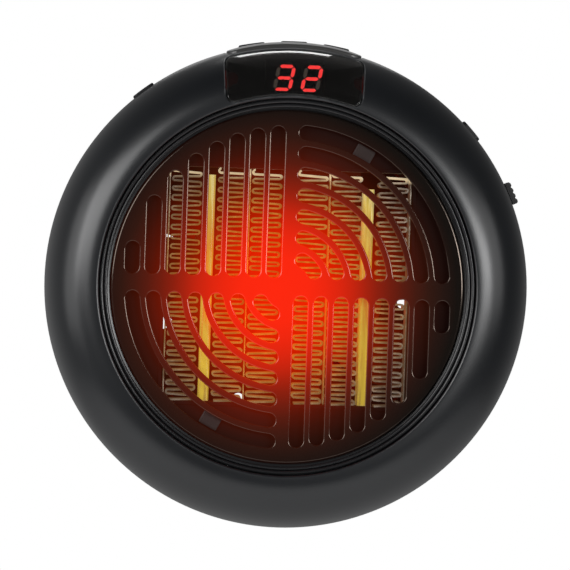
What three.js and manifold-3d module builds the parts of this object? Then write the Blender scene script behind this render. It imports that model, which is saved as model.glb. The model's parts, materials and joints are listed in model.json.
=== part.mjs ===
// Plug-in fan heater: a round body on a turning mains plug, with a fan behind a corrugated
// PTC heating element, a slotted front grille, and a display and buttons at the top.
// Millimetres. The heater's axis is Y, the room lies towards -Y, +X is right and +Z is up seen
// from the room. The origin is the centre of the plug's flat face, which meets the socket.
// A depth is a distance from that face towards the room, and a radius is taken from the axis.

import * as THREE from 'three';
import { mergeVertices } from 'three/addons/utils/BufferGeometryUtils.js';
import Module from 'manifold-3d';

const wasm = await Module();
wasm.setup();

// Fits shared by the whole product: gap between pieces, wall, run of one fused form into another
const clearance = 0.3;
const wall = 2.5;
const overlap = 1;

// Plug and its pins, in the size of a wall socket
const plugRadius = 18.5;
const plugFlangeWidth = 4.5;
const plugFlangeThickness = 3.2;
const plugChamfer = 1.2;
const pinRadius = 2.4;
const pinLength = 19;
const pinSpacing = 19;
const pinTipRounding = 1.4;
const clipNotchWidth = 8;
const clipNotchDepth = 2;
const guideNotchWidth = 4.6;
const guideNotchDepth = 2.4;
const notchLength = 16;

const plugFlangeRadius = plugRadius + plugFlangeWidth;

// Body: rear shell and front bezel
const bodyRadius = 85;
const turretMargin = 8;
const turretBackDepth = 19;
const turretLength = 12;
const turretChamfer = 1.5;
const domeMargin = 5;
const domeRise = 23;
const shellSide = 6;
const bezelSide = 16;
const bezelRise = 24;
const crestInset = 17;
const crestRounding = 2.4;
const boreWall = 1;
const tongueLength = 3;
const tongueThickness = 2.4;

const turretRadius = plugFlangeRadius + turretMargin;
const turretBore = turretRadius - wall;
const plugInnerFace = turretBackDepth + wall + clearance + plugFlangeThickness;
const domeBack = turretBackDepth + turretLength;
const domeInnerBack = domeBack + wall;
const domeFootRadius = turretRadius + domeMargin;
const domeFront = domeBack + domeRise;
const partingDepth = domeFront + shellSide;
const bezelShoulder = partingDepth + bezelSide;
const crestDepth = bezelShoulder + bezelRise;
const crestRadius = bodyRadius - crestInset;
const bezelBore = crestRadius - crestRounding;

// Air intake in the rear shell
const ventMargin = 6;
const ventInset = 15;
const ventWidth = 4;
const ventPitchAngle = 13;
const ventsPerGroup = 4;
const ventGroups = 4;

const ventInner = domeFootRadius + ventMargin;
const ventOuter = bodyRadius - ventInset;

// Front grille
const grilleInset = 6.5;
const grilleSink = 5.7;
const grilleThickness = 2.3;
const grilleBevel = 1;
const grilleRim = 5.5;
const slotWidthShare = 0.0797;
const straightSlots = 8;
const straightEdge = 1.82;
const arcSlots = 7;
const arcEdge = 2.02;
const firstArc = 10.6;
const crossBarHeight = 6;
const uprightBarWidth = 4.9;

const grilleRadius = crestRadius - grilleInset;
const grilleDepth = crestDepth - grilleSink;
const grilleSlotWidth = grilleRadius * slotWidthShare;
const grilleSlotLimit = grilleRadius - grilleRim;
const firstStraight = (uprightBarWidth + grilleSlotWidth) / 2;
const straightPitch = (grilleSlotLimit - straightEdge - firstStraight) / (straightSlots - 1);
const arcPitch = (grilleSlotLimit - arcEdge - firstArc) / (arcSlots - 1);

// Trim ring
const trimGap = 1;
const trimWidth = 2.7;
const trimLipRise = 3.3;
const trimLipStep = 0.3;
const trimGrooveDepth = 0.8;
const trimLand = 2;

const trimInner = grilleRadius + trimGap;
const trimOuter = trimInner + trimWidth;
const trimSeat = grilleDepth - clearance;

// Display at the top of the bezel
const windowInset = 1.3;
const windowEdge = 2.1;
const windowWidth = 47.8;
const windowSlant = 3.4;
const windowCorner = 2.6;
const windowThickness = 1.2;
const windowFoot = 86;
const moduleWidth = 20;
const moduleHeight = 12.6;
const moduleThickness = 5;
const moduleTilt = 22;
const moduleDrop = 1.8;
const moduleSink = 6.7;
const moduleView = 5;
const displayBoardWidth = 34;
const displayBoardHeight = 13;
const boardThickness = 1.2;

const windowInner = crestRadius - windowInset;
const windowOuter = bodyRadius - windowEdge;
const windowMiddle = (windowInner + windowOuter) / 2;
const moduleRadius = windowMiddle - moduleDrop;
const moduleDepth = crestDepth - moduleSink;
// How far the line of the window's side passes from the axis
const windowLean = THREE.MathUtils.degToRad(windowSlant);
const windowSide = (windowWidth / 2) * Math.cos(windowLean) - windowMiddle * Math.sin(windowLean);

// Control strip and its buttons
const stripRise = 1.1;
const stripSink = 0.9;
const stripWidth = 47.4;
const stripLength = 20;
const stripForward = 2;
const stripCorner = 4;
const buttonCount = 3;
const buttonPitchAngle = 10;
const buttonWidth = 9.2;
const buttonLength = 7;
const buttonCorner = 1.4;
const buttonRise = 0.45;
const buttonEdge = 0.4;
const buttonForward = 12;
const buttonTravel = 0.8;
const buttonFlange = 1;
const buttonFlangeDrop = 1;
const tactSize = 6;
const tactHeight = 3.5;
const tactStem = 1.75;
const tactStemHeight = 0.9;
const tactGap = 0.3;
const buttonBoardLength = 12;
const buttonBoardHalfAngle = 15;
const boardRibWidth = 2;
const boardRibGapAngle = 1.2;

const buttonDepth = partingDepth + buttonForward;
const stripDepth = buttonDepth + stripForward;
const buttonFlangeTop = bodyRadius - wall - buttonFlangeDrop;
const buttonBottom = buttonFlangeTop - buttonFlange;
const tactTop = buttonBottom - buttonTravel - tactGap;
const tactBottom = tactTop - tactStemHeight - tactHeight;
const buttonBoardTop = tactBottom - clearance;
const buttonBoardBottom = buttonBoardTop - boardThickness;

// Pads and slide switch on the rim
const padAngles = [128, 42];
const padWidth = 8.5;
const padLength = 14;
const padRise = 0.85;
const padSink = 1.2;
const padCorner = 1.6;
const padForward = 11;
const switchAngle = 24.4;
const switchTravel = 4;
const switchForward = 10;
const knobWidth = 8;
const knobLength = 9;
const knobRise = 2.4;
const knobRibs = 4;
const knobRibDepth = 0.5;
const knobRibSlope = 0.25;
const knobRibCrest = 0.4;
const knobStemWidth = 3.6;
const knobStemLength = 3;
const switchBodyWidth = 16;
const switchBodyLength = 8;
const switchBodyHeight = 7;
const switchBodyDrop = 3;
const switchCheek = 2;

const padDepth = partingDepth + padForward;
const switchDepth = partingDepth + switchForward;
const switchBodyTop = bodyRadius - wall - switchBodyDrop;

// Fan duct
const ductMargin = 5.5;
const ductWall = 2.2;
const ductTail = 3;
const ductRun = 14;
const ductConeLength = 3.5;
const ductConeInset = 0.7;
const ductFrontWall = 1.7;
const earThickness = 2;
const earRadius = 4;
const earWidth = 8;

const ductBore = grilleRadius - ductMargin;
const ductOuter = ductBore + ductWall;
const ductStart = partingDepth - ductTail;
const ductStep = partingDepth + ductRun;
const ductFront = grilleDepth - clearance;
const ductFrontOuter = grilleRadius + trimGap / 2 + clearance;
const ductFrontBore = ductFrontOuter - ductFrontWall;

// Case screws with their bosses and posts
const screwInset = 13;
const screwAngles = [45, 135, 225, 315];
const screwRadius = 1.5;
const screwLength = 24;
const screwHeadRadius = 3.2;
const screwHeadHeight = 2.5;
const screwSetback = 8;
const postRadius = 4;
const postInset = 3.5;
const pilotOverrun = 3;
const bossWall = 1.6;
const bossSetback = 8;

const screwCircle = bodyRadius - screwInset;
const screwSeat = partingDepth - screwSetback;
const screwTip = screwSeat + screwLength;

// Motor and its carrier
const motorRadius = 14;
const motorLength = 19;
const motorWall = 1.2;
const motorCapThickness = 2;
const shaftRadius = 1.5;
const rotorRadius = 9.5;
const rotorLength = 11;
const bearingRadius = 4;
const bearingLength = 3;
const bearingStandOut = 1;
const carrierWall = 2.7;
const carrierArms = 4;
const carrierArmWidth = 5;
const carrierArmDepth = 4;
const carrierFaceBore = 6;
const carrierFace = 1.2;
const carrierCupLength = 8;

const motorFront = partingDepth;
const motorBack = motorFront - motorLength;
const capBack = motorBack - clearance - motorCapThickness;

// Impeller
const hubRadius = 17;
const hubWall = 2;
const hubLength = 11.5;
const hubGap = 2.6;
const hubBossRadius = 4.5;
const hubChamfer = 1.5;
const bladeCount = 7;
const bladeGap = 2;
const bladeThickness = 1.2;
const bladeRootWidth = 15;
const bladeTipWidth = 31;
const bladeRootAngle = 34;
const bladeTipAngle = 21;
const bladeSweepAngle = 14;
const bladeCamber = 0.14;
const bladeCrest = -0.05;

const hubStart = motorFront + hubGap;
const bladeTip = ductBore - bladeGap;

// PTC heating element and its frame: the first two are shares of the grille's radius
const barPitchShare = 0.4553;
const elementHeightShare = 1.3203;
const barCount = 3;
const barWidth = 4.9;
const barCorner = 0.9;
const elementThickness = 12.5;
const elementGap = 5.5;
const finBendDepth = 2;
const finPlate = 0.8;
const finPitch = 3.87;
const framePlate = 3.6;
const frameWall = 1.2;
const frameLip = 0.6;
const frameBlockAngles = [62, 242];
const frameBlockWidth = 7;
const frameBlockHeight = 5;
const frameBlockRise = 0.9;
const tabInset = 2.6;
const tabLength = 3;
const tabWidth = 4;
const tabThickness = 0.8;

const barPitch = grilleRadius * barPitchShare;
const elementHeight = grilleRadius * elementHeightShare;
const elementWidth = barPitch * barCount + finPlate;
const elementBack = ductStep + elementGap;
const elementFront = elementBack + elementThickness;
const frameFront = elementFront + 2 * clearance;
const tabDrop = elementHeight / 2 - tabInset;

// Overheat protection behind the frame's plate
const protectionMargin = 9.4;
const thermostatWidth = 14;
const thermostatHeight = 8;
const thermostatThickness = 4;
const fuseRadius = 1.9;
const fuseLength = 11;
const fuseOffset = 17;
const fuseRise = 3.5;

const protectionFront = frameFront - framePlate - clearance;
const protectionDrop = elementHeight / 2 + protectionMargin;

// Slip rings and contacts
const ringThickness = 0.8;
const ringWidth = 2;
const innerRing = 4.5;
const outerRingInset = 10.5;
const ringLugWidth = 3;
const ringLugGap = 1.5;
const retainerThickness = 2;
const retainerLap = 6;
const carrierWeb = 2;
const carrierRim = 2;
const carrierRecess = 1;
const carrierHeight = 8.1;
const springThickness = 0.4;
const springWidth = 1.6;

const outerRing = plugFlangeRadius - outerRingInset;
const ringDepth = plugInnerFace + clearance;
const retainerBack = ringDepth;
const retainerBore = plugFlangeRadius - retainerLap;
const contactCarrierBack = retainerBack + retainerThickness + clearance;
const contactCarrierFront = contactCarrierBack + carrierHeight;

// Main board
const boardMargin = 5.5;
const mainBoardThickness = 1.6;
const boardPostRadius = 2.5;
const boardPostInset = 3.5;
const boardPosts = 3;
const canCapacitor = { radius: 5, height: 12, inset: 11.5, rise: 6 };
const filmCapacitor = { width: 18, thickness: 6, height: 11, inset: 10.5 };
const choke = { radius: 5.5, height: 8, inset: 10.5 };
const relaySize = { width: 14, length: 19, height: 13, inset: 11 };

const boardRadius = turretRadius + boardMargin;
const boardPostCircle = boardRadius - boardPostInset;
const mainBoardBack = contactCarrierFront + clearance;
const mainBoardFront = mainBoardBack + mainBoardThickness;

// Leads from the board to the outer heater bars
const leadRadius = 1.2;
const leadInset = 4;
const leadMargin = 7.8;
const leadDrop = 2.6;

const leadRun = ductOuter + leadMargin;
const leadDepth = elementBack - leadDrop;

// Facets round the large rings, the plug, the turned pieces inside and the posts
const ringSides = 36;
const plugSides = 24;
const turnedSides = 16;
const smallSides = 8;

// Colours and finishes
function finish(colour, roughness, metalness) {
  return new THREE.MeshStandardMaterial({ color: colour, roughness, metalness });
}
const mattBlack = finish(0x1c1c1e, 0.6, 0);
const glossBlack = finish(0x08080a, 0.12, 0);
const satinGrey = finish(0x55565a, 0.45, 0);
const smoked = finish(0x1a1312, 0.2, 0);
const chassisPlastic = finish(0x2b2b2d, 0.65, 0);
const aluminium = finish(0xc9ccd0, 0.35, 0.9);
const amberFilm = finish(0xd9a23a, 0.35, 0);
const steel = finish(0xa9adb2, 0.35, 0.9);
const brass = finish(0xc9a24e, 0.3, 0.9);
const boardGreen = finish(0x1f5a3a, 0.5, 0);
const ledBody = finish(0x3a3638, 0.4, 0);
const whitePlastic = finish(0xd8d6cf, 0.5, 0);
const leadRed = finish(0xa02820, 0.5, 0);

// Joining and cutting
function toSolid(geometry) {
  const bare = new THREE.BufferGeometry();
  bare.setAttribute('position', geometry.getAttribute('position').clone());
  bare.setIndex(geometry.getIndex());
  const merged = mergeVertices(bare, 1e-4);
  const index = merged.getIndex().array;
  const triangles = [];
  for (let i = 0; i < index.length; i += 3) {
    const [a, b, c] = [index[i], index[i + 1], index[i + 2]];
    if (a !== b && b !== c && c !== a) triangles.push(a, b, c);
  }
  const vertProperties = Float32Array.from(merged.getAttribute('position').array);
  const triVerts = Uint32Array.from(triangles);
  return new wasm.Manifold(new wasm.Mesh({ numProp: 3, vertProperties, triVerts }));
}

function toGeometry(solid) {
  const mesh = solid.getMesh();
  const geometry = new THREE.BufferGeometry();
  geometry.setAttribute('position', new THREE.BufferAttribute(Float32Array.from(mesh.vertProperties), 3));
  geometry.setIndex(new THREE.BufferAttribute(Uint32Array.from(mesh.triVerts), 1));
  return geometry;
}

function join(first, ...others) {
  return toGeometry(others.reduce((solid, other) => solid.add(toSolid(other)), toSolid(first)));
}

function cut(first, ...others) {
  return toGeometry(others.reduce((solid, other) => solid.subtract(toSolid(other)), toSolid(first)));
}

function common(first, ...others) {
  return toGeometry(others.reduce((solid, other) => solid.intersect(toSolid(other)), toSolid(first)));
}

// Basic forms
const rad = THREE.MathUtils.degToRad;
const mix = THREE.MathUtils.lerp;

function facingOut(geometry) {
  const position = geometry.getAttribute('position');
  const index = geometry.getIndex();
  const [a, b, c] = [new THREE.Vector3(), new THREE.Vector3(), new THREE.Vector3()];
  let volume = 0;
  for (let i = 0; i < index.count; i += 3) {
    a.fromBufferAttribute(position, index.getX(i));
    b.fromBufferAttribute(position, index.getX(i + 1));
    c.fromBufferAttribute(position, index.getX(i + 2));
    volume += a.dot(b.cross(c));
  }
  if (volume < 0) index.array.reverse();
  return geometry;
}

// A profile is a list of [radius, depth]. It starts and ends on the axis or closes on itself.
function revolve(profile, sides = ringSides) {
  const points = profile.map(([radius, depth]) => new THREE.Vector2(radius, -depth));
  return facingOut(new THREE.LatheGeometry(points, sides));
}

function tube(inner, outer, from, to, sides = ringSides) {
  return revolve([[inner, from], [outer, from], [outer, to], [inner, to], [inner, from]], sides);
}

function rod(radius, from, to, sides = smallSides) {
  return revolve([[0, from], [radius, from], [radius, to], [0, to]], sides);
}

// An outline seen from the room, carried from one depth to another
function plate(shape, from, to) {
  const geometry = new THREE.ExtrudeGeometry(shape, { depth: to - from, bevelEnabled: false });
  return geometry.translate(0, 0, from).rotateX(Math.PI / 2);
}

// An outline on the rim (across, along the depth), carried from one radius to another at the top
function rimPlate(shape, depth, from, to) {
  const geometry = new THREE.ExtrudeGeometry(shape, { depth: to - from, bevelEnabled: false });
  return geometry.translate(0, -depth, from);
}

// A box by its middle in x and z, its two depths and its size across and up
function block(x, z, width, height, from, to) {
  return new THREE.BoxGeometry(width, to - from, height).translate(x, -(from + to) / 2, z);
}

// A piece made at the top of the body, turned to an angle that runs from +X towards +Z
function turned(geometry, angle) {
  return geometry.rotateY(rad(90 - angle));
}

function moved(geometry, radius, angle) {
  return geometry.translate(radius * Math.cos(rad(angle)), 0, radius * Math.sin(rad(angle)));
}

function arc(x, y, radius, from, to, steps) {
  const points = [];
  for (let i = 0; i <= steps; i += 1) {
    const angle = rad(from + ((to - from) * i) / steps);
    points.push(new THREE.Vector2(x + radius * Math.cos(angle), y + radius * Math.sin(angle)));
  }
  return points;
}

function roundedBox(width, height, corner, steps = 2) {
  const [x, y] = [width / 2 - corner, height / 2 - corner];
  return [
    ...arc(x, y, corner, 0, 90, steps),
    ...arc(-x, y, corner, 90, 180, steps),
    ...arc(-x, -y, corner, 180, 270, steps),
    ...arc(x, -y, corner, 270, 360, steps),
  ];
}

function disc(radius, sides) {
  return arc(0, 0, radius, 0, 360 - 360 / sides, sides - 1);
}

// Rings of points with the same count, skinned into one closed body
function loft(rings) {
  const count = rings[0].length;
  const positions = rings.flat().flatMap((point) => [point.x, point.y, point.z]);
  const index = [];
  for (let ring = 0; ring < rings.length - 1; ring += 1) {
    for (let i = 0; i < count; i += 1) {
      const a = ring * count + i;
      const b = ring * count + ((i + 1) % count);
      index.push(a, b, a + count, b, b + count, a + count);
    }
  }
  const top = (rings.length - 1) * count;
  for (let i = 1; i < count - 1; i += 1) {
    index.push(0, i + 1, i, top, top + i, top + i + 1);
  }
  const geometry = new THREE.BufferGeometry();
  geometry.setAttribute('position', new THREE.Float32BufferAttribute(positions, 3));
  geometry.setIndex(new THREE.BufferAttribute(Uint32Array.from(index), 1));
  return facingOut(geometry);
}

// A cap on the rim whose rounded outline draws in at each level of [radius, inset]
function rimCap(width, length, corner, depth, levels) {
  const rings = levels.map(([radius, inset]) => {
    const outline = roundedBox(width - 2 * inset, length - 2 * inset, corner - inset / 2, 2);
    return outline.map((point) => new THREE.Vector3(point.x, point.y - depth, radius));
  });
  return loft(rings);
}

// Body surface: side, elliptical shoulder and rounded crest, set out by an offset
function bezelSurface(offset, steps = 4) {
  const [across, along] = [bodyRadius - crestRadius + offset, bezelRise + offset];
  const points = arc(0, 0, 1, 0, 90, steps);
  return points.map((point) => [crestRadius + across * point.x, bezelShoulder + along * point.y]);
}

function crestSurface(offset, steps = 2) {
  const centre = crestDepth - crestRounding;
  const points = arc(crestRadius, centre, crestRounding + offset, 90, 180, steps);
  return points.slice(1).map((point) => [point.x, point.y]);
}

function bezelSkin(outer, inner, from) {
  const outside = [[bodyRadius + outer, from], ...bezelSurface(outer), ...crestSurface(outer)];
  const inside = [[bodyRadius + inner, from], ...bezelSurface(inner), ...crestSurface(inner)];
  return revolve([...outside, ...inside.reverse(), outside[0]]);
}

// A panel between two arcs, centred on the top, with leaning sides and rounded corners
function arcPanel(inner, outer, side, slant, corner, steps = 6) {
  const polar = (radius, angle) => [radius * Math.sin(rad(angle)), radius * Math.cos(rad(angle))];
  const cornerAngle = (radius) =>
    slant + THREE.MathUtils.radToDeg(Math.asin((side - corner) / radius));
  const outerEnd = cornerAngle(outer - corner);
  const innerEnd = cornerAngle(inner + corner);
  const right = [];
  const shares = [...Array(steps / 2).keys()].map((i) => (i + 0.5) / (steps / 2));
  right.push(...shares.map((share) => polar(outer, outerEnd * share)));
  const rounding = (radius, angle, from, to) => {
    const [x, z] = polar(radius, angle);
    for (let i = 0; i <= 2; i += 1) {
      const [dx, dz] = polar(corner, from + ((to - from) * i) / 2);
      right.push([x + dx, z + dz]);
    }
  };
  rounding(outer - corner, outerEnd, outerEnd, slant + 90);
  rounding(inner + corner, innerEnd, slant + 90, innerEnd + 180);
  right.push(...shares.map((share) => polar(inner, innerEnd * (1 - share))));
  const left = right.map(([x, z]) => [-x, z]).reverse();
  return new THREE.Shape([...right, ...left].map(([x, z]) => new THREE.Vector2(x, z)));
}

// Front bezel
function displayWindow(grow, thickness) {
  const outline = arcPanel(
    windowInner - grow, windowOuter + grow, windowSide + grow, windowSlant, windowCorner + grow);
  const skin = bezelSkin(grow * 3, -thickness, bezelShoulder);
  return common(skin, plate(outline, windowFoot - grow, crestDepth + wall));
}

function ledModule(grow, ahead = grow) {
  const geometry = new THREE.BoxGeometry(
    moduleWidth + 2 * grow, moduleThickness + grow + ahead, moduleHeight + 2 * grow);
  geometry.translate(0, (moduleThickness + grow - ahead) / 2, 0).rotateX(-rad(moduleTilt));
  return geometry.translate(0, -moduleDepth, moduleRadius);
}

function controlStrip(grow, rise) {
  const outline = roundedBox(stripWidth + 2 * grow, stripLength + 2 * grow, stripCorner + grow);
  const skin = bezelSkin(rise, -stripSink - grow, partingDepth);
  return common(skin, rimPlate(new THREE.Shape(outline), stripDepth, crestRadius, 2 * bodyRadius));
}

const buttonNumbers = [...Array(buttonCount).keys()];

function buttonAngle(number) {
  return 90 - (number - (buttonCount - 1) / 2) * buttonPitchAngle;
}

function buttonHole(number) {
  const outline = roundedBox(
    buttonWidth + 2 * clearance, buttonLength + 2 * clearance, buttonCorner + clearance);
  const hole = rimPlate(new THREE.Shape(outline), buttonDepth, crestRadius, 2 * bodyRadius);
  return turned(hole, buttonAngle(number));
}

function rimPad(grow, angle) {
  const floor = bodyRadius - padSink - grow;
  const top = grow > 0 ? bodyRadius + wall : bodyRadius + padRise;
  const levels = [[floor, 0], [top - padRise / 2, 0], [top, padRise / 2]];
  const pad = rimCap(padWidth + 2 * grow, padLength + 2 * grow, padCorner + grow, padDepth, levels);
  return turned(pad, angle);
}

function bezelPost(angle) {
  const post = rod(postRadius, partingDepth + 3 * clearance + earThickness, crestDepth - postInset);
  return moved(post, screwCircle, angle);
}

function bezelPilot(angle) {
  const pilot = rod(screwRadius + clearance, partingDepth, screwTip + pilotOverrun);
  return moved(pilot, screwCircle, angle);
}

function boardRib(side) {
  const [bottom, top] = [buttonBoardBottom + clearance, bodyRadius - wall / 2];
  const half = buttonBoardLength / 2;
  const [back, front] = [buttonDepth - half, buttonDepth + half];
  const rib = block(0, (bottom + top) / 2, boardRibWidth, top - bottom, back, front);
  return turned(rib, 90 - side * (buttonBoardHalfAngle + boardRibGapAngle));
}

function switchCheekRib(side) {
  const [bottom, top] = [switchBodyTop - switchBodyHeight / 2, bodyRadius - wall / 2];
  const across = side * (switchBodyWidth / 2 + clearance + switchCheek / 2) - switchTravel / 2;
  const half = switchBodyLength / 2;
  const [back, front] = [switchDepth - half, switchDepth + half];
  return turned(block(across, (bottom + top) / 2, switchCheek, top - bottom, back, front), switchAngle);
}

function switchSlot() {
  const width = knobStemWidth + switchTravel + 2 * clearance;
  const half = knobStemLength / 2 + clearance;
  const middle = bodyRadius - wall / 2;
  const slot = block(-switchTravel / 2, middle, width, 3 * wall, switchDepth - half, switchDepth + half);
  return turned(slot, switchAngle);
}

function frontBezel() {
  const innerSkin = bezelSurface(-wall, 2).reverse();
  const tongueOuter = bodyRadius - wall - clearance;
  const tongueInner = tongueOuter - tongueThickness;
  const shell = revolve([
    [tongueOuter, partingDepth - tongueLength],
    [tongueOuter, partingDepth],
    [bodyRadius, partingDepth],
    ...bezelSurface(0),
    ...crestSurface(0),
    [bezelBore, trimSeat],
    [ductFrontOuter + clearance, trimSeat],
    [ductFrontOuter + clearance, trimSeat - trimLand],
    [bezelBore + boreWall, trimSeat - trimLand],
    ...innerSkin,
    [bodyRadius - wall, partingDepth + 2 * tongueThickness],
    [tongueInner, partingDepth + tongueThickness],
    [tongueInner, partingDepth - tongueLength],
    [tongueOuter, partingDepth - tongueLength],
  ]);
  const posts = screwAngles.map(bezelPost);
  const ribs = [-1, 1].flatMap((side) => [boardRib(side), switchCheekRib(side)]);
  const solid = join(shell, ...posts, ...ribs);
  return cut(
    solid,
    displayWindow(clearance, windowThickness + clearance),
    ledModule(clearance, moduleView),
    controlStrip(clearance, wall),
    ...buttonNumbers.map(buttonHole),
    ...padAngles.map((angle) => rimPad(clearance, angle)),
    ...screwAngles.map(bezelPilot),
    switchSlot(),
  );
}

// Control strip with the holes for its buttons
function stripCover() {
  return cut(controlStrip(0, stripRise), ...buttonNumbers.map(buttonHole));
}

// Trim ring with two lips and a groove between them
function trimRing() {
  const back = trimSeat + clearance;
  const top = back + trimLipRise;
  const middle = (trimInner + trimOuter) / 2;
  const edge = trimLipStep;
  return revolve([
    [trimInner, back],
    [trimOuter, back],
    [trimOuter, top + edge],
    [middle + edge, top + edge],
    [middle, top + edge - trimGrooveDepth],
    [middle - edge, top],
    [trimInner, top],
    [trimInner, back],
  ]);
}

// Front grille: straight slots in two quadrants, quarter-ring slots in the other two
function straightSlot(number, turn) {
  const x = -(firstStraight + number * straightPitch);
  const radius = grilleSlotWidth / 2;
  const low = crossBarHeight / 2 + radius;
  const high = Math.sqrt(grilleSlotLimit ** 2 - x ** 2) - radius;
  const points = [...arc(x, high, radius, 0, 180, 3), ...arc(x, low, radius, 180, 360, 3)];
  return new THREE.Path(points.map((point) => point.multiplyScalar(turn)));
}

function arcSlot(number, turn) {
  const middle = firstArc + number * arcPitch;
  const radius = grilleSlotWidth / 2;
  const toAngle = THREE.MathUtils.radToDeg;
  const from = toAngle(Math.asin((crossBarHeight / 2 + radius) / middle));
  const to = toAngle(Math.acos((uprightBarWidth / 2 + radius) / middle));
  const [startX, startY] = [middle * Math.cos(rad(from)), middle * Math.sin(rad(from))];
  const [endX, endY] = [middle * Math.cos(rad(to)), middle * Math.sin(rad(to))];
  const steps = 3 + Math.round(number * 0.8);
  const points = [
    ...arc(0, 0, middle + radius, from, to, steps),
    ...arc(endX, endY, radius, to, to + 180, 3).slice(1, -1),
    ...arc(0, 0, middle - radius, to, from, steps),
    ...arc(startX, startY, radius, from + 180, from + 360, 3).slice(1, -1),
  ];
  return new THREE.Path(points.map((point) => point.multiplyScalar(turn)));
}

function frontGrille() {
  const front = grilleDepth + grilleThickness;
  const outline = new THREE.Shape(disc(grilleRadius + 1, ringSides));
  for (const turn of [1, -1]) {
    for (let i = 0; i < straightSlots; i += 1) outline.holes.push(straightSlot(i, turn));
    for (let i = 0; i < arcSlots; i += 1) outline.holes.push(arcSlot(i, turn));
  }
  const body = revolve([
    [0, grilleDepth],
    [grilleRadius, grilleDepth],
    [grilleRadius, front - grilleBevel],
    [grilleRadius - grilleBevel, front],
    [0, front],
  ]);
  return common(body, plate(outline, grilleDepth - 1, front + 1));
}

// Buttons, tact switches and their board
function button(number) {
  const top = bodyRadius + stripRise + buttonRise;
  const cap = rimCap(buttonWidth, buttonLength, buttonCorner, buttonDepth, [
    [buttonBottom + buttonFlange / 2, 0],
    [top - buttonEdge, 0],
    [top, buttonEdge],
  ]);
  const [width, length] = [buttonWidth + 2 * buttonFlange, buttonLength + 2 * buttonFlange];
  const outline = new THREE.Shape(roundedBox(width, length, buttonCorner, 1));
  const flange = rimPlate(outline, buttonDepth, buttonBottom, buttonFlangeTop);
  return turned(join(cap, flange), buttonAngle(number));
}

function tactSwitch(number) {
  const body = block(0, tactBottom + tactHeight / 2, tactSize, tactHeight,
    buttonDepth - tactSize / 2, buttonDepth + tactSize / 2);
  const stem = rimPlate(
    new THREE.Shape(disc(tactStem, smallSides)), buttonDepth, tactBottom + tactHeight / 2, tactTop);
  return turned(join(body, stem), buttonAngle(number));
}

function buttonBoard() {
  const half = buttonBoardLength / 2;
  const strip = tube(buttonBoardBottom, buttonBoardTop, buttonDepth - half, buttonDepth + half);
  const wedge = arcPanel(buttonBoardBottom - 5, buttonBoardTop + 5, 0, buttonBoardHalfAngle, 1);
  return common(strip, plate(wedge, buttonDepth - half - 1, buttonDepth + half + 1));
}

function displayBoard() {
  const geometry = new THREE.BoxGeometry(displayBoardWidth, boardThickness, displayBoardHeight);
  const back = moduleThickness + clearance + boardThickness / 2;
  geometry.translate(0, back, 0).rotateX(-rad(moduleTilt));
  return geometry.translate(0, -moduleDepth, moduleRadius);
}

// Slide switch
function switchKnob() {
  const [base, top] = [bodyRadius + clearance, bodyRadius + knobRise];
  const pitch = knobWidth / knobRibs;
  const outline = [new THREE.Vector2(-knobWidth / 2, base), new THREE.Vector2(knobWidth / 2, base)];
  for (let i = 0; i < knobRibs; i += 1) {
    const right = knobWidth / 2 - i * pitch;
    outline.push(new THREE.Vector2(right, top - knobRibDepth));
    outline.push(new THREE.Vector2(right - pitch * knobRibSlope, top));
    outline.push(new THREE.Vector2(right - pitch * (knobRibSlope + knobRibCrest), top));
  }
  outline.push(new THREE.Vector2(-knobWidth / 2, top - knobRibDepth));
  const half = knobLength / 2;
  const cap = plate(new THREE.Shape(outline), switchDepth - half, switchDepth + half);
  const [stemBottom, stemTop] = [switchBodyTop + clearance, base + overlap / 2];
  const stem = block(0, (stemBottom + stemTop) / 2, knobStemWidth, stemTop - stemBottom,
    switchDepth - knobStemLength / 2, switchDepth + knobStemLength / 2);
  return turned(join(cap, stem), switchAngle);
}

function switchBody() {
  const body = block(-switchTravel / 2, switchBodyTop - switchBodyHeight / 2, switchBodyWidth,
    switchBodyHeight, switchDepth - switchBodyLength / 2, switchDepth + switchBodyLength / 2);
  return turned(body, switchAngle);
}

// Rear shell
function domeSurface(offset, steps = 4) {
  const [across, along] = [bodyRadius - domeFootRadius + offset, domeRise + offset];
  const points = arc(0, 0, 1, 0, 90, steps);
  return points.map((point) => [domeFootRadius + across * point.x, domeFront - along * point.y]);
}

function ventSlots() {
  const slots = [];
  const length = ventOuter - ventInner;
  for (let group = 0; group < ventGroups; group += 1) {
    for (let i = 0; i < ventsPerGroup; i += 1) {
      const angle = (group * 360) / ventGroups + (i - (ventsPerGroup - 1) / 2) * ventPitchAngle;
      const slot = block(0, (ventInner + ventOuter) / 2, ventWidth, length, domeBack - overlap, domeFront);
      slots.push(turned(slot, angle));
    }
  }
  return slots;
}

function turret() {
  return revolve([
    [plugRadius + clearance, turretBackDepth],
    [plugRadius + clearance, turretBackDepth + wall],
    [plugFlangeRadius + clearance, turretBackDepth + wall],
    [plugFlangeRadius + clearance, plugInnerFace],
    [turretBore, plugInnerFace],
    [turretBore, domeInnerBack],
    [turretRadius + overlap, domeInnerBack],
    [turretRadius + overlap, domeBack],
    [turretRadius, domeBack],
    [turretRadius, turretBackDepth + turretChamfer],
    [turretRadius - turretChamfer, turretBackDepth],
    [plugRadius + clearance, turretBackDepth],
  ], plugSides);
}

// Screw bosses, trimmed to the inside of the dome
function screwBosses() {
  const sunk = overlap / 2;
  const inside = revolve([
    [0, domeInnerBack - sunk],
    [domeFootRadius, domeInnerBack - sunk],
    ...domeSurface(-sunk).reverse().slice(1),
    [bodyRadius - sunk, partingDepth + overlap],
    [0, partingDepth + overlap],
  ]);
  const radius = screwHeadRadius + clearance + bossWall;
  const boss = () => rod(radius, domeBack + bossSetback, partingDepth + clearance / 2);
  return screwAngles.map((angle) => common(moved(boss(), screwCircle, angle), inside));
}

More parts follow.
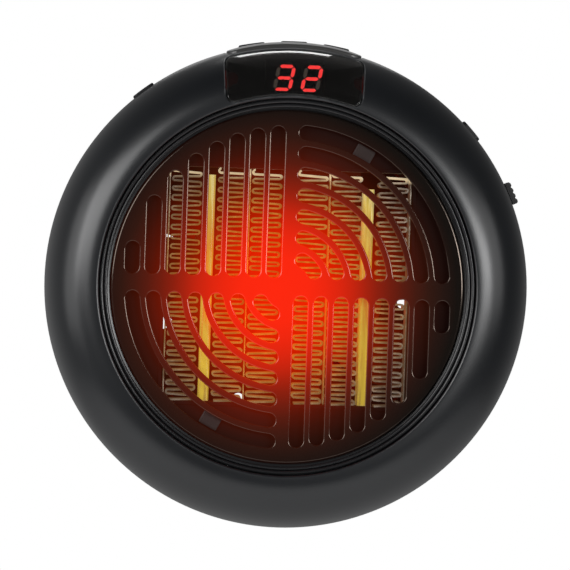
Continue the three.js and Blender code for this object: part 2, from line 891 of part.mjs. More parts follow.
function boardPost(number) {
  const post = rod(boardPostRadius, domeBack + overlap / 2, mainBoardBack - clearance);
  return moved(post, boardPostCircle, 90 + (360 / boardPosts) * number);
}

function rearShell() {
  const front = partingDepth - clearance;
  const shell = revolve([
    [turretRadius, domeBack],
    [turretRadius, domeInnerBack],
    ...domeSurface(-wall, 3).reverse(),
    [bodyRadius - wall, front],
    [bodyRadius, front],
    ...domeSurface(0),
    [turretRadius, domeBack],
  ]);
  const posts = [...Array(boardPosts).keys()].map(boardPost);
  const recesses = screwAngles.map((angle) => (
    moved(rod(screwHeadRadius + clearance, domeBack - overlap, screwSeat), screwCircle, angle)));
  const screwHoles = screwAngles.map((angle) => (
    moved(rod(screwRadius + clearance, domeBack, partingDepth + overlap), screwCircle, angle)));
  const solid = join(shell, turret(), ...screwBosses(), ...posts);
  return cut(solid, ...ventSlots(), ...recesses, ...screwHoles);
}

function caseScrew(angle) {
  const seat = screwSeat - clearance;
  const screw = revolve([
    [0, seat - screwHeadHeight],
    [screwHeadRadius * 0.8, seat - screwHeadHeight],
    [screwHeadRadius, seat],
    [screwRadius, seat],
    [screwRadius, screwTip - 2],
    [0, screwTip],
  ], smallSides);
  return moved(screw, screwCircle, angle);
}

// Fan duct with the motor carrier
function ear(angle) {
  const back = partingDepth + 1.5 * clearance;
  const reach = screwCircle + earRadius - ductOuter + overlap;
  const web = block(0, ductOuter - overlap + reach / 2, earWidth, reach, back, back + earThickness);
  return turned(web, angle);
}

function carrierArm(number) {
  const cupOuter = motorRadius + clearance + carrierWall;
  const reach = ductBore + ductWall / 2 - cupOuter + overlap;
  const middle = cupOuter - overlap + reach / 2;
  const arm = block(0, middle, carrierArmWidth, reach, ductStart, ductStart + carrierArmDepth);
  return turned(arm, (360 / carrierArms) * number);
}

function earHole(angle) {
  const hole = rod(screwRadius + clearance, partingDepth, partingDepth + 2 * earThickness);
  return moved(hole, screwCircle, angle);
}

function leadHole(side) {
  const outline = new THREE.Shape(disc(leadRadius + overlap, smallSides));
  return turned(rimPlate(outline, leadDepth, ductBore - ductWall, leadRun), leadAngle(side));
}

function fanDuct() {
  const stepEnd = ductStep + ductConeLength;
  const sleeve = revolve([
    [ductBore, ductStart],
    [ductOuter, ductStart],
    [ductOuter, ductStep],
    [ductFrontOuter, stepEnd],
    [ductFrontOuter, ductFront],
    [ductFrontBore, ductFront],
    [ductFrontBore, stepEnd + ductConeInset],
    [ductBore, ductStep + ductConeInset],
    [ductBore, ductStart],
  ]);
  const cupInner = motorRadius + clearance;
  const cupOuter = cupInner + carrierWall;
  const cupBack = motorFront - carrierCupLength;
  const cupFront = motorFront + 2 * clearance + carrierFace;
  const cup = revolve([
    [cupInner, cupBack],
    [cupOuter, cupBack],
    [cupOuter, cupFront],
    [carrierFaceBore, cupFront],
    [carrierFaceBore, motorFront + clearance],
    [cupInner, motorFront + clearance],
    [cupInner, cupBack],
  ], turnedSides);
  const arms = [...Array(carrierArms).keys()].map(carrierArm);
  const solid = join(sleeve, cup, ...arms, ...screwAngles.map(ear));
  return cut(solid, ...screwAngles.map(earHole), ...[1, -1].map(leadHole));
}

// Impeller: a hub cup with swept, cambered blades
function blade(number) {
  const stations = 3;
  const rings = [];
  for (let i = 0; i <= stations; i += 1) {
    const share = i / stations;
    const radius = mix(hubRadius - overlap, bladeTip, share);
    const chord = mix(bladeRootWidth, bladeTipWidth, share);
    const pitch = rad(mix(bladeRootAngle, bladeTipAngle, share));
    const lead = (number * 360) / bladeCount + bladeSweepAngle * share ** 2;
    const ring = [];
    for (const [along, side] of [[-0.5, 0], [bladeCrest, 1], [0.5, 0], [bladeCrest, -1]]) {
      const camber = (0.25 - along * along) * chord * bladeCamber;
      const across = camber + (side * bladeThickness) / 2;
      const tangent = along * chord * Math.cos(pitch) - across * Math.sin(pitch);
      const axial = along * chord * Math.sin(pitch) + across * Math.cos(pitch);
      const angle = rad(lead) + tangent / radius;
      const depth = hubStart + hubLength / 2 - axial;
      ring.push(new THREE.Vector3(radius * Math.cos(angle), -depth, radius * Math.sin(angle)));
    }
    rings.push(ring);
  }
  return loft(rings);
}

function impeller() {
  const front = hubStart + hubLength;
  const bore = shaftRadius + clearance;
  const hub = revolve([
    [bore, hubStart],
    [hubBossRadius, hubStart],
    [hubBossRadius, front - hubWall],
    [hubRadius - hubWall, front - hubWall],
    [hubRadius - hubWall, hubStart],
    [hubRadius, hubStart],
    [hubRadius, front - hubChamfer],
    [hubRadius - hubChamfer, front],
    [bore, front],
    [bore, hubStart],
  ], turnedSides);
  const blades = [];
  for (let i = 0; i < bladeCount; i += 1) blades.push(blade(i));
  return join(hub, ...blades);
}

// Motor
function motorHousing() {
  const seat = bearingRadius + clearance;
  return revolve([
    [motorRadius, motorBack],
    [motorRadius, motorFront],
    [seat + motorWall, motorFront],
    [seat + motorWall, motorFront + bearingStandOut],
    [seat, motorFront + bearingStandOut],
    [seat, motorFront - motorWall],
    [motorRadius - motorWall, motorFront - motorWall],
    [motorRadius - motorWall, motorBack],
    [motorRadius, motorBack],
  ], turnedSides);
}

function motorEndCap() {
  const seat = bearingRadius + clearance;
  return revolve([
    [seat, capBack],
    [motorRadius, capBack],
    [motorRadius, capBack + motorCapThickness],
    [motorRadius - motorWall - clearance, capBack + motorCapThickness],
    [motorRadius - motorWall - clearance, motorBack + overlap],
    [seat, motorBack + overlap],
    [seat, capBack],
  ], turnedSides);
}

function bearing(from) {
  return tube(shaftRadius + clearance, bearingRadius, from, from + bearingLength, smallSides);
}

function motorShaft() {
  return rod(shaftRadius, capBack, hubStart + hubLength - 0.5, smallSides);
}

function motorRotor() {
  const back = (motorBack + motorFront - rotorLength) / 2;
  return tube(shaftRadius + clearance, rotorRadius, back, back + rotorLength, turnedSides);
}

// PTC heating element
function barPlace(number) {
  return (number - (barCount - 1) / 2) * barPitch;
}

function finColumn(bar, side) {
  const start = barWidth / 2 + clearance;
  const end = barPitch / 2 - finPlate / 2 - clearance;
  const reach = (end - start) / 2;
  const bends = 2 * Math.floor(elementHeight / finPitch);
  const step = elementHeight / bends;
  const [rightEdge, leftEdge] = [[], []];
  for (let i = 0; i < bends; i += 1) {
    const z = -elementHeight / 2 + (i + 0.5) * step;
    const [crest, trough] = [reach, reach - finBendDepth];
    rightEdge.push(new THREE.Vector2(i % 2 === 0 ? crest : -trough, z));
    leftEdge.push(new THREE.Vector2(i % 2 === 0 ? trough : -crest, z));
  }
  const outline = new THREE.Shape([...rightEdge, ...leftEdge.reverse()]);
  const ribbon = plate(outline, elementBack, elementFront);
  return ribbon.translate(barPlace(bar) + (side * (start + end)) / 2, 0, 0);
}

function finPlateStrip(number) {
  const x = (number - barCount / 2) * barPitch;
  return block(x, 0, finPlate, elementHeight, elementBack, elementFront);
}

function ptcBar(number) {
  const outline = new THREE.Shape(roundedBox(barWidth, elementThickness, barCorner));
  const bar = new THREE.ExtrudeGeometry(outline, { depth: elementHeight, bevelEnabled: false });
  bar.translate(0, -(elementBack + elementFront) / 2, -elementHeight / 2);
  const tab = block(
    0, -tabDrop, tabThickness, tabWidth, elementBack - tabLength, elementBack + overlap);
  return join(bar, tab).translate(barPlace(number), 0, 0);
}

function ptcFrame() {
  const radius = ductFrontBore - clearance;
  const [width, height] = [elementWidth + 2 * clearance, elementHeight + 2 * clearance];
  const back = elementBack - clearance;
  const web = rod(radius, frameFront - framePlate, frameFront, ringSides);
  const collar = common(
    block(0, 0, width + 2 * frameWall, height + 2 * frameWall, back, frameFront + frameLip),
    rod(radius, back, frameFront + frameLip, ringSides));
  const blocks = frameBlockAngles.map((angle) => turned(
    block(0, grilleSlotLimit - grilleSlotWidth / 2, frameBlockWidth, frameBlockHeight,
      frameFront - overlap, frameFront + frameBlockRise),
    angle));
  const opening = block(0, 0, width, height, back - overlap, frameFront + frameLip + overlap);
  return cut(join(web, collar, ...blocks), opening);
}

// Overheat protection
function thermostat() {
  const back = protectionFront - thermostatThickness;
  return block(0, -protectionDrop, thermostatWidth, thermostatHeight, back, protectionFront);
}

function thermalFuse() {
  const fuse = new THREE.CylinderGeometry(fuseRadius, fuseRadius, fuseLength, smallSides);
  return fuse.rotateZ(Math.PI / 2).translate(
    fuseOffset, -(protectionFront - fuseRadius), fuseRise - protectionDrop);
}

// Main board with its soldered capacitors and choke, and the relay that stands on it
function mainBoard() {
  const board = rod(boardRadius, mainBoardBack, mainBoardFront, plugSides);
  const sunk = mainBoardFront - mainBoardThickness / 2;
  const can = rod(canCapacitor.radius, sunk, mainBoardFront + canCapacitor.height);
  const film = block(0, boardRadius - filmCapacitor.inset, filmCapacitor.width,
    filmCapacitor.thickness, sunk, mainBoardFront + filmCapacitor.height);
  const coil = rod(choke.radius, sunk, mainBoardFront + choke.height);
  return join(
    board,
    can.translate(canCapacitor.inset - boardRadius, 0, canCapacitor.rise),
    film,
    coil.translate(0, 0, choke.inset - boardRadius),
  );
}

function relay() {
  const back = mainBoardFront + clearance;
  const x = boardRadius - relaySize.inset;
  return block(x, 0, relaySize.width, relaySize.length, back, back + relaySize.height);
}

// Leads
function leadAngle(side) {
  return THREE.MathUtils.radToDeg(Math.atan2(-tabDrop, side * barPitch));
}

// The route is a list of [radius, depth]: up from the board, out, forward, and in to the tab
function heaterLead(side) {
  const startRadius = boardRadius - leadInset;
  const tabRadius = Math.hypot(barPitch, tabDrop) + tabWidth * 0.65;
  const depthAt = (share) => mix(mainBoardFront + clearance, leadDepth, share);
  const route = [
    [startRadius, depthAt(0)],
    [startRadius, depthAt(0.1)],
    [mix(startRadius, leadRun, 0.3), depthAt(0.23)],
    [mix(startRadius, leadRun, 0.9), depthAt(0.36)],
    [leadRun, depthAt(0.5)],
    [leadRun, depthAt(0.8)],
    [mix(leadRun, ductBore, 0.3), depthAt(0.97)],
    [ductBore, leadDepth],
    [tabRadius, leadDepth],
  ];
  const curve = new THREE.CatmullRomCurve3(
    route.map(([radius, depth]) => new THREE.Vector3(0, -depth, radius)), false, 'catmullrom', 0.4);
  const outline = new THREE.Shape(disc(leadRadius, 5));
  const sweep = { steps: 14, extrudePath: curve, bevelEnabled: false };
  return turned(new THREE.ExtrudeGeometry(outline, sweep), leadAngle(side));
}

// Plug with its pins and slip rings
function plugBody() {
  const body = revolve([
    [0, 0],
    [plugRadius - plugChamfer, 0],
    [plugRadius, plugChamfer],
    [plugRadius, turretBackDepth + wall + clearance],
    [plugFlangeRadius, turretBackDepth + wall + clearance],
    [plugFlangeRadius, plugInnerFace],
    [0, plugInnerFace],
  ], plugSides);
  const bores = [-1, 1].map((side) => {
    const bore = rod(pinRadius + clearance, -overlap, plugInnerFace + overlap);
    return bore.translate((side * pinSpacing) / 2, 0, 0);
  });
  const notch = (width, depth, angle) => turned(
    block(0, plugRadius, width, 2 * depth, -overlap, notchLength), angle);
  return cut(
    body,
    ...bores,
    notch(clipNotchWidth, clipNotchDepth, 90),
    notch(clipNotchWidth, clipNotchDepth, 270),
    notch(guideNotchWidth, guideNotchDepth, 0),
    notch(guideNotchWidth, guideNotchDepth, 180),
  );
}

function plugPin(side) {
  const pin = revolve([
    [0, -pinLength],
    [pinRadius - pinTipRounding, -pinLength],
    [pinRadius - pinTipRounding * 0.3, -pinLength + pinTipRounding * 0.5],
    [pinRadius, -pinLength + pinTipRounding * 1.4],
    [pinRadius, plugInnerFace],
    [0, plugInnerFace],
  ], smallSides);
  return pin.translate((side * pinSpacing) / 2, 0, 0);
}

function slipRing(radius, lugFrom, lugTo) {
  const front = ringDepth + ringThickness;
  const ring = tube(radius, radius + ringWidth, ringDepth, front, turnedSides);
  const lug = block((lugFrom + lugTo) / 2, 0, Math.abs(lugTo - lugFrom), ringLugWidth, ringDepth, front);
  return join(ring, lug);
}

function plugRetainer() {
  const front = retainerBack + retainerThickness;
  return tube(retainerBore, turretBore - clearance, retainerBack, front, turnedSides);
}

function contactCarrier() {
  const outer = turretBore - clearance;
  const webBack = contactCarrierBack + carrierRecess;
  return revolve([
    [0, webBack],
    [outer - carrierRim, webBack],
    [outer - carrierRim, contactCarrierBack],
    [outer, contactCarrierBack],
    [outer, contactCarrierFront],
    [outer - carrierRim, contactCarrierFront],
    [outer - carrierRim, webBack + carrierWeb],
    [0, webBack + carrierWeb],
  ], turnedSides);
}

// A bent strip, set out as a line of [across, depth]
function contactSpring(radius) {
  const top = contactCarrierBack + carrierRecess - clearance;
  const low = ringDepth + ringThickness + clearance + springThickness;
  const line = [[-6, top], [-2, top], [1.5, low], [3, low], [4.5, top - springThickness]];
  const upper = line.map(([x, depth]) => new THREE.Vector2(x, -depth));
  const lower = line.map(([x, depth]) => new THREE.Vector2(x, springThickness - depth)).reverse();
  const outline = new THREE.Shape([...upper, ...lower]);
  const strip = new THREE.ExtrudeGeometry(outline, { depth: springWidth, bevelEnabled: false });
  const middle = radius + ringWidth / 2;
  return strip.translate(0, 0, middle - springWidth / 2);
}

// Assembly
const heater = new THREE.Group();

function add(name, geometry, material) {
  const mesh = new THREE.Mesh(geometry, material);
  mesh.name = name;
  heater.add(mesh);
}

add('front_bezel', frontBezel(), mattBlack);
add('trim_ring', trimRing(), glossBlack);
add('front_grille', frontGrille(), smoked);
add('display_window', displayWindow(0, windowThickness), glossBlack);
add('led_display', ledModule(0), ledBody);
add('display_board', displayBoard(), boardGreen);
add('control_strip', stripCover(), satinGrey);
['left', 'middle', 'right'].forEach((place, i) => {
  add(`button_${place}`, button(i), mattBlack);
  add(`tact_switch_${place}`, tactSwitch(i), steel);
});
add('button_board', buttonBoard(), boardGreen);
add('rim_pad_left', rimPad(0, padAngles[0]), mattBlack);
add('rim_pad_right', rimPad(0, padAngles[1]), mattBlack);
add('switch_knob', switchKnob(), mattBlack);
add('switch_body', switchBody(), chassisPlastic);
add('rear_shell', rearShell(), mattBlack);
screwAngles.forEach((angle, i) => add(`case_screw_${i + 1}`, caseScrew(angle), steel));
add('fan_duct', fanDuct(), chassisPlastic);
add('impeller', impeller(), chassisPlastic);
add('motor_housing', motorHousing(), steel);
add('motor_end_cap', motorEndCap(), whitePlastic);
add('motor_shaft', motorShaft(), steel);
add('motor_rotor', motorRotor(), steel);
add('bearing_front', bearing(motorFront - bearingLength + 1), brass);
add('bearing_rear', bearing(capBack + clearance), brass);
add('ptc_frame', ptcFrame(), chassisPlastic);
for (let bar = 0; bar < barCount; bar += 1) {
  add(`ptc_bar_${bar + 1}`, ptcBar(bar), amberFilm);
  add(`fin_column_${2 * bar + 1}`, finColumn(bar, -1), aluminium);
  add(`fin_column_${2 * bar + 2}`, finColumn(bar, 1), aluminium);
}
for (let i = 0; i <= barCount; i += 1) add(`fin_plate_${i + 1}`, finPlateStrip(i), aluminium);
add('thermostat', thermostat(), chassisPlastic);
add('thermal_fuse', thermalFuse(), whitePlastic);
add('main_board', mainBoard(), boardGreen);
add('relay', relay(), glossBlack);
add('heater_lead_left', heaterLead(-1), leadRed);
add('heater_lead_right', heaterLead(1), leadRed);
add('plug_body', plugBody(), mattBlack);
add('plug_pin_left', plugPin(-1), steel);
add('plug_pin_right', plugPin(1), steel);
add('slip_ring_inner', slipRing(innerRing, -innerRing - ringWidth / 2, ringLugGap - outerRing), brass);
add('slip_ring_outer', slipRing(outerRing, outerRing + ringWidth / 2, pinSpacing / 2 - ringLugGap), brass);
add('plug_retainer', plugRetainer(), chassisPlastic);
add('contact_carrier', contactCarrier(), chassisPlastic);
add('contact_spring_inner', contactSpring(innerRing), brass);
add('contact_spring_outer', contactSpring(outerRing), brass);

export default heater;
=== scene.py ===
"""The looks of a plug-in fan heater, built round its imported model.

Sizes in the code are millimetres, and Blender's own are metres. The heater's axis is Y, the room
lies towards -Y, +X is right and +Z is up seen from the room. A depth is a distance from the plug's
flat face towards the room, a radius is taken from the axis, and an angle runs from +X towards +Z.
"""

import json
import math

import bmesh
import bpy
import numpy as np
from bpy.props import FloatProperty, FloatVectorProperty, IntProperty, PointerProperty
from mathutils import Euler, Matrix, Vector


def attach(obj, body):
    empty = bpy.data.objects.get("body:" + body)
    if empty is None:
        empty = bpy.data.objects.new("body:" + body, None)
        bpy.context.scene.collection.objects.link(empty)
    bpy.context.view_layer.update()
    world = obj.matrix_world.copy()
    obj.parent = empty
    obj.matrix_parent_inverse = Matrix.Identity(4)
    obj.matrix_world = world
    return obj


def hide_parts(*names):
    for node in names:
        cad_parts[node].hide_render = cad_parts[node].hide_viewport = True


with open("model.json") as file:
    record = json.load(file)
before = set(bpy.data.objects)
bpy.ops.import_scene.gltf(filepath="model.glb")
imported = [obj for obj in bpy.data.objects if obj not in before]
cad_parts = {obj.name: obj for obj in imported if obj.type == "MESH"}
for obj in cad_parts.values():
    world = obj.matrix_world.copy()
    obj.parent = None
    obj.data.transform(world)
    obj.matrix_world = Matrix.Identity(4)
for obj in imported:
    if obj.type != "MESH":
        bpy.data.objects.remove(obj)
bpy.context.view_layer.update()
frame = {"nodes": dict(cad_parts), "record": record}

bl_info = {
    "name": "Plug-in fan heater",
    "version": (1, 0, 0),
    "blender": (4, 5, 0),
    "location": "3D View > Sidebar > Heater",
    "description": "Builds the pieces, finishes and studio of a plug-in fan heater",
    "category": "Object",
}

MM = 0.001
CLEARANCE = 0.3
WALL = 2.5

# Case
BODY_RADIUS = 85.0
PARTING = 60.0
SHOULDER = 76.0
CREST_RADIUS = 66.4
CREST_DEPTH = 100.0
CREST_ROUNDING = 0.8
CREST_DROP = 0.6
BEZEL_BORE = CREST_RADIUS - CREST_ROUNDING
TRIM_SEAT = 94.0
GRILLE_RADIUS = 61.5
GRILLE_BACK = 94.3
GRILLE_FRONT = 96.6
TURRET_RADIUS = 31.0
TURRET_BACK = 19.0
DOME_BACK = 31.0
DOME_FOOT = 36.0
DOME_RISE = 23.0
DOME_FRONT = DOME_BACK + DOME_RISE
SCREW_CIRCLE = 72.0
SCREW_ANGLES = (45, 135, 225, 315)
SCREW_SEAT = 52.0
SCREW_HEAD = 3.2
SCREW_HOLE = 1.8
SCREW_RECESS = 3.5
BOSS_RADIUS = 5.1
POST_RADIUS = 4
POST_BACK = 62.9
POST_FRONT = 96.2
TURRET_BORE = 18.8

# Display, with the module's size across, along the depth and upwards
WINDOW_INNER = 66.7
WINDOW_OUTER = 82.9
WINDOW_SIDE = 19.42
WINDOW_SLANT = 3.4
WINDOW_CORNER = 2.6
WINDOW_THICKNESS = 1.2
WINDOW_FOOT = 86.0
MODULE_SIZE = (20.0, 5.0, 12.6)
MODULE_PLACE = (0.0, -93.3, 73.0)
MODULE_TILT = 22.0
MODULE_VIEW = 5.0

# Controls on the rim
STRIP_DEPTH = 74.0
STRIP_SIZE = (47.4, 20.0)
STRIP_CORNER = 4
STRIP_RISE = 1.1
STRIP_SINK = 0.9
BUTTON_ANGLES = {"left": 100, "middle": 90, "right": 80}
BUTTON_DEPTH = 72.0
BUTTON_SIZE = (9.2, 7.0)
BUTTON_CORNER = 1.4
BUTTON_TOP = 86.55
BUTTON_CROWN = 0.12
BUTTON_FLOOR = 80.0
PAD_ANGLES = {"left": 128, "right": 42}
PAD_DEPTH = 71.0
PAD_SIZE = (8.5, 14.0)
PAD_CORNER = 1.6
SWITCH_ANGLE = 24.4
SWITCH_DEPTH = 70.0
SWITCH_TRAVEL = 4.0
KNOB_BASE = 85.3
KNOB_TOP = 87.4
KNOB_WIDTH = 8.0
KNOB_LENGTH = 9.0
KNOB_RIB = 0.5

# Heating element
BAR_PITCH = GRILLE_RADIUS * 0.4553
BAR_WIDTH = 4.9
BAR_JOINTS = (-27.0, -11.7, 24.0)
FIN_PLATE = 0.8
PLATE_SHOWN = (0.55, 0.3, 0.3, 0.55)
ELEMENT_HEIGHT = GRILLE_RADIUS * 1.3203
ELEMENT_BACK = 79.5
ELEMENT_FRONT = 92.0
FILM_WIDTH = 3.8
FILM_DROP = (2.4, 0.0, 5.6)
FILM_ASIDE = (0.0, 0.0, -0.55)
LAP_START = 5.75
LAP_RISE = 0.09
CLIP_ANGLES = (62, 242)
CLIP_RADIUS = 53.55
CLIP_DEPTH = 93.5
CLIP_SIZE = (6.8, 4.8)

# Fan and plug
BLADE_START = math.radians(12.5)
BLADE_ROOT = 16
BLADE_SPAN = 38
BLADE_DEPTH = 68.35
PLUG_RADIUS = 18.5
PLUG_FLANGE = 23.0
PLUG_END = 25.0
PIN_SIDE = 9.5
PIN_RADIUS = 2.4
PIN_LENGTH = 19.0

# Finishes and lights, in metres but for the depth that the lamps point at
GLOW_MIDDLE = -0.0042
GLOW_DROP = 0.0012
GLOW_REACH = 0.0635
PATCH_SIZE = 0.03
LIT_DEPTH = 80

# Shading of turned faces: least corner in degrees, how much a face's direction and its distance
# may differ from a line of the profile
CORNER_ANGLE = 36
SAME_DIRECTION = 0.97
PROFILE_REACH = 0.06


# Numbers in a node tree, written as sums


class Field:
    """A number that a node tree works out, used in sums as any number is."""

    def __init__(self, tree, socket):
        self.tree, self.socket = tree, socket

    def work(self, operation, *others):
        node = self.tree.nodes.new("ShaderNodeMath")
        node.operation = operation
        for slot, value in zip(node.inputs, (self, *others)):
            feed(self.tree, slot, value)
        return Field(self.tree, node.outputs[0])

    def __add__(self, other):
        return self.work("ADD", other)

    def __sub__(self, other):
        return self.work("SUBTRACT", other)

    def __mul__(self, other):
        return self.work("MULTIPLY", other)

    def __truediv__(self, other):
        return self.work("DIVIDE", other)

    def __neg__(self):
        return self.work("MULTIPLY", -1.0)

    __radd__ = __add__
    __rmul__ = __mul__

    def __rsub__(self, other):
        return -self + other

    def __rtruediv__(self, other):
        return self.work("POWER", -1.0) * other

    def root(self):
        return self.work("SQRT")


def feed(tree, slot, value):
    """Links a field to an input, or sets the input to a plain value."""
    if isinstance(value, Field):
        tree.links.new(value.socket, slot)
    else:
        slot.default_value = value


class NodeWork:
    """Short ways to add nodes to a tree."""

    def __init__(self, tree):
        self.tree = tree

    def add(self, kind, inputs=None, **settings):
        node = self.tree.nodes.new(kind)
        for name, value in settings.items():
            setattr(node, name, value)
        for key, value in (inputs or {}).items():
            feed(self.tree, node.inputs[key], value)
        return node

    def made(self, kind, inputs=None, output=0, **settings):
        """One output of a new node."""
        return Field(self.tree, self.add(kind, inputs, **settings).outputs[output])

    def noise(self, place, scale, detail=2.0, **inputs):
        inputs = {"Vector": place, "Scale": scale, "Detail": detail, **inputs}
        return self.made("ShaderNodeTexNoise", inputs, "Fac")

    def spread(self, value, low, high, top=1.0):
        """How far a value has come from low to high, as a share of the top."""
        return self.made("ShaderNodeMapRange", {
            "Value": value, "From Min": low, "From Max": high, "To Max": top})

    def mixed(self, share, first, second):
        inputs = {0: share, 6: first, 7: second}
        return self.made("ShaderNodeMix", inputs, 2, data_type="RGBA")

    def ramp(self, share, stops):
        """A colour that changes with a share."""
        node = self.add("ShaderNodeValToRGB", {0: share})
        elements = node.color_ramp.elements
        while len(elements) > 1:
            elements.remove(elements[-1])
        elements[0].position = stops[0][0]
        elements[0].color = (*stops[0][1], 1)
        for position, colour in stops[1:]:
            elements.new(position).color = (*colour, 1)
        return Field(self.tree, node.outputs[0])

    def point(self, x, y, z):
        return self.made("ShaderNodeCombineXYZ", {0: x, 1: y, 2: z})

    def axis(self, place, number):
        return self.made("ShaderNodeSeparateXYZ", {0: place}, number)


class NodeTree(NodeWork):
    """A node group with named inputs and outputs."""

    SOCKETS = {float: "Float", int: "Int", tuple: "Color", "vector": "Vector", "colour": "Color",
               "number": "Float", "object": "Object", "material": "Material",
               "geometry": "Geometry"}

    def __init__(self, name, kind, inputs, outputs):
        super().__init__(bpy.data.node_groups.new(name, kind))
        for direction, sockets in (("INPUT", inputs), ("OUTPUT", outputs)):
            for label, default in sockets.items():
                plain = isinstance(default, str)
                form = "NodeSocket" + self.SOCKETS[default if plain else type(default)]
                socket = self.tree.interface.new_socket(label, in_out=direction, socket_type=form)
                if not plain:
                    socket.default_value = default
        self.start = self.tree.nodes.new("NodeGroupInput")
        self.end = self.tree.nodes.new("NodeGroupOutput")

    def given(self, label):
        return Field(self.tree, self.start.outputs[label])

    def give(self, label, value):
        feed(self.tree, self.end.inputs[label], value)

    def index(self):
        return self.made("GeometryNodeInputIndex")

    def named(self, label):
        return self.made("GeometryNodeInputNamedAttribute", {"Name": label}, "Attribute")

    def copies(self, points, shape, **inputs):
        """The shape set on every point."""
        return self.made(
            "GeometryNodeInstanceOnPoints", {"Points": points, "Instance": shape, **inputs})

    def together(self, *parts):
        node = self.add("GeometryNodeJoinGeometry")
        for part in parts:
            feed(self.tree, node.inputs[0], part)
        return Field(self.tree, node.outputs[0])


def geometry_tree(name, inputs):
    inputs = {"Geometry": "geometry", **inputs, "Finish": "material"}
    return NodeTree(name, "GeometryNodeTree", inputs, {"Geometry": "geometry"})


def close_tree(nodes, geometry):
    """Ends a geometry tree: instances become real and take the finish."""
    real = nodes.made("GeometryNodeRealizeInstances", {0: geometry})
    nodes.give("Geometry", nodes.made(
        "GeometryNodeSetMaterial", {"Geometry": real, "Material": nodes.given("Finish")}))
    return nodes.tree


# Meshes


FINISHES = {}
EFFECTS = {}


def shown(name, bm, materials=()):
    """Puts mesh work into the scene as an object."""
    mesh = bpy.data.meshes.new(name)
    bm.to_mesh(mesh)
    bm.free()
    for material in materials:
        mesh.materials.append(material)
    obj = bpy.data.objects.new(name, mesh)
    bpy.context.scene.collection.objects.link(obj)
    return obj


def piece_from(name, bm, *finishes):
    """Mesh work as an object in the scene, with its faces outwards."""
    bmesh.ops.recalc_face_normals(bm, faces=bm.faces)
    return shown(name, bm, [FINISHES[finish] for finish in finishes])


def outwards(obj):
    """Turns the faces of an object outwards."""
    bm = bmesh.new()
    bm.from_mesh(obj.data)
    bmesh.ops.recalc_face_normals(bm, faces=bm.faces)
    bm.to_mesh(obj.data)
    bm.free()
    return obj


def settle(obj):
    """Makes the result of an object's modifiers its own plain mesh."""
    depsgraph = bpy.context.evaluated_depsgraph_get()
    mesh = bpy.data.meshes.new_from_object(obj.evaluated_get(depsgraph))
    obj.modifiers.clear()
    obj.data = mesh
    return obj


def shaped_by(obj, tree, values):
    """Runs an object through a geometry tree, with the tree's named inputs set first."""
    modifier = obj.modifiers.new(tree.name, "NODES")
    modifier.node_group = tree
    for item in tree.interface.items_tree:
        if item.in_out == "INPUT" and item.name in values:
            modifier[item.identifier] = values[item.name]
    return settle(obj)


def carved(obj, tools, operation="DIFFERENCE"):
    """Cuts tools out of a piece, joins them to it or keeps what they share."""
    for tool in tools:
        modifier = obj.modifiers.new("carve", "BOOLEAN")
        modifier.object = tool
        modifier.operation = operation
        modifier.solver = "MANIFOLD"
    settle(obj)
    for tool in tools:
        bpy.data.objects.remove(tool)
    if not obj.data.polygons:
        raise RuntimeError(f"{obj.name} has nothing left after its cuts")
    return obj


def softened(obj, width, segments=2, angle=30):
    """Rounds the edges of a piece that are sharper than an angle."""
    modifier = obj.modifiers.new("edges", "BEVEL")
    modifier.width = width * MM
    modifier.segments = segments
    modifier.limit_method = "ANGLE"
    modifier.angle_limit = math.radians(angle)
    return settle(obj)


def shaded(obj, angle=32, weighted=True):
    """Smooth faces with sharp edges past an angle. Large flat faces keep their own direction."""
    bm = bmesh.new()
    bm.from_mesh(obj.data)
    for face in bm.faces:
        face.smooth = True
    for edge in bm.edges:
        joined = len(edge.link_faces) == 2
        edge.smooth = joined and edge.calc_face_angle(0) < math.radians(angle)
    bm.to_mesh(obj.data)
    bm.free()
    if weighted:
        modifier = obj.modifiers.new("normals", "WEIGHTED_NORMAL")
        modifier.keep_sharp = True
        settle(obj)
    return obj


def joined(name, objects):
    """One object from several, their meshes side by side."""
    bm = bmesh.new()
    finishes = []
    for obj in objects:
        start = len(bm.faces)
        bm.from_mesh(obj.data)
        bm.faces.ensure_lookup_table()
        places = []
        for material in obj.data.materials:
            if material not in finishes:
                finishes.append(material)
            places.append(finishes.index(material))
        for face in bm.faces[start:]:
            face.material_index = places[face.material_index] if places else 0
        bpy.data.objects.remove(obj)
    return shown(name, bm, finishes)


def at(radius, angle, depth):
    turn = math.radians(angle)
    return Vector((radius * math.cos(turn), -depth, radius * math.sin(turn))) * MM


def turned(point, angle):
    """A point set out at the top of the body, turned round the axis to an angle."""
    turn = math.radians(90 - angle)
    x, y, z = point
    return Vector((x * math.cos(turn) + z * math.sin(turn), y,
                   z * math.cos(turn) - x * math.sin(turn)))


def skinned(rings, capped=True):
    """A closed skin over rings with the same count of points. A ring of one point is a pole."""
    bm = bmesh.new()
    rows = [[bm.verts.new(point) for point in ring] for ring in rings]
    for low, high in zip(rows, rows[1:]):
        count = max(len(low), len(high))
        for i in range(count):
            a, b = low[i % len(low)], low[(i + 1) % len(low)]
            c, d = high[(i + 1) % len(high)], high[i % len(high)]
            corners = [v for n, v in enumerate((a, b, c, d)) if v not in (a, b, c, d)[:n]]
            if len(corners) > 2:
                bm.faces.new(corners)
    if capped:
        for row in (rows[0], rows[-1]):
            if len(row) > 2:
                bm.faces.new(row)
    return bm


def lathe(profile, sides):
    """A turned skin. The profile starts and ends on the axis, or it closes on itself."""
    closed = profile[0][0] > 0
    rings = []
    for radius, depth in [*profile, profile[0]] if closed else profile:
        if radius <= 0:
            rings.append([at(0, 0, depth)])
        else:
            rings.append([at(radius, 360 * i / sides, depth) for i in range(sides)])
    bm = skinned(rings, capped=False)
    bmesh.ops.remove_doubles(bm, verts=bm.verts, dist=1e-7)
    return bm


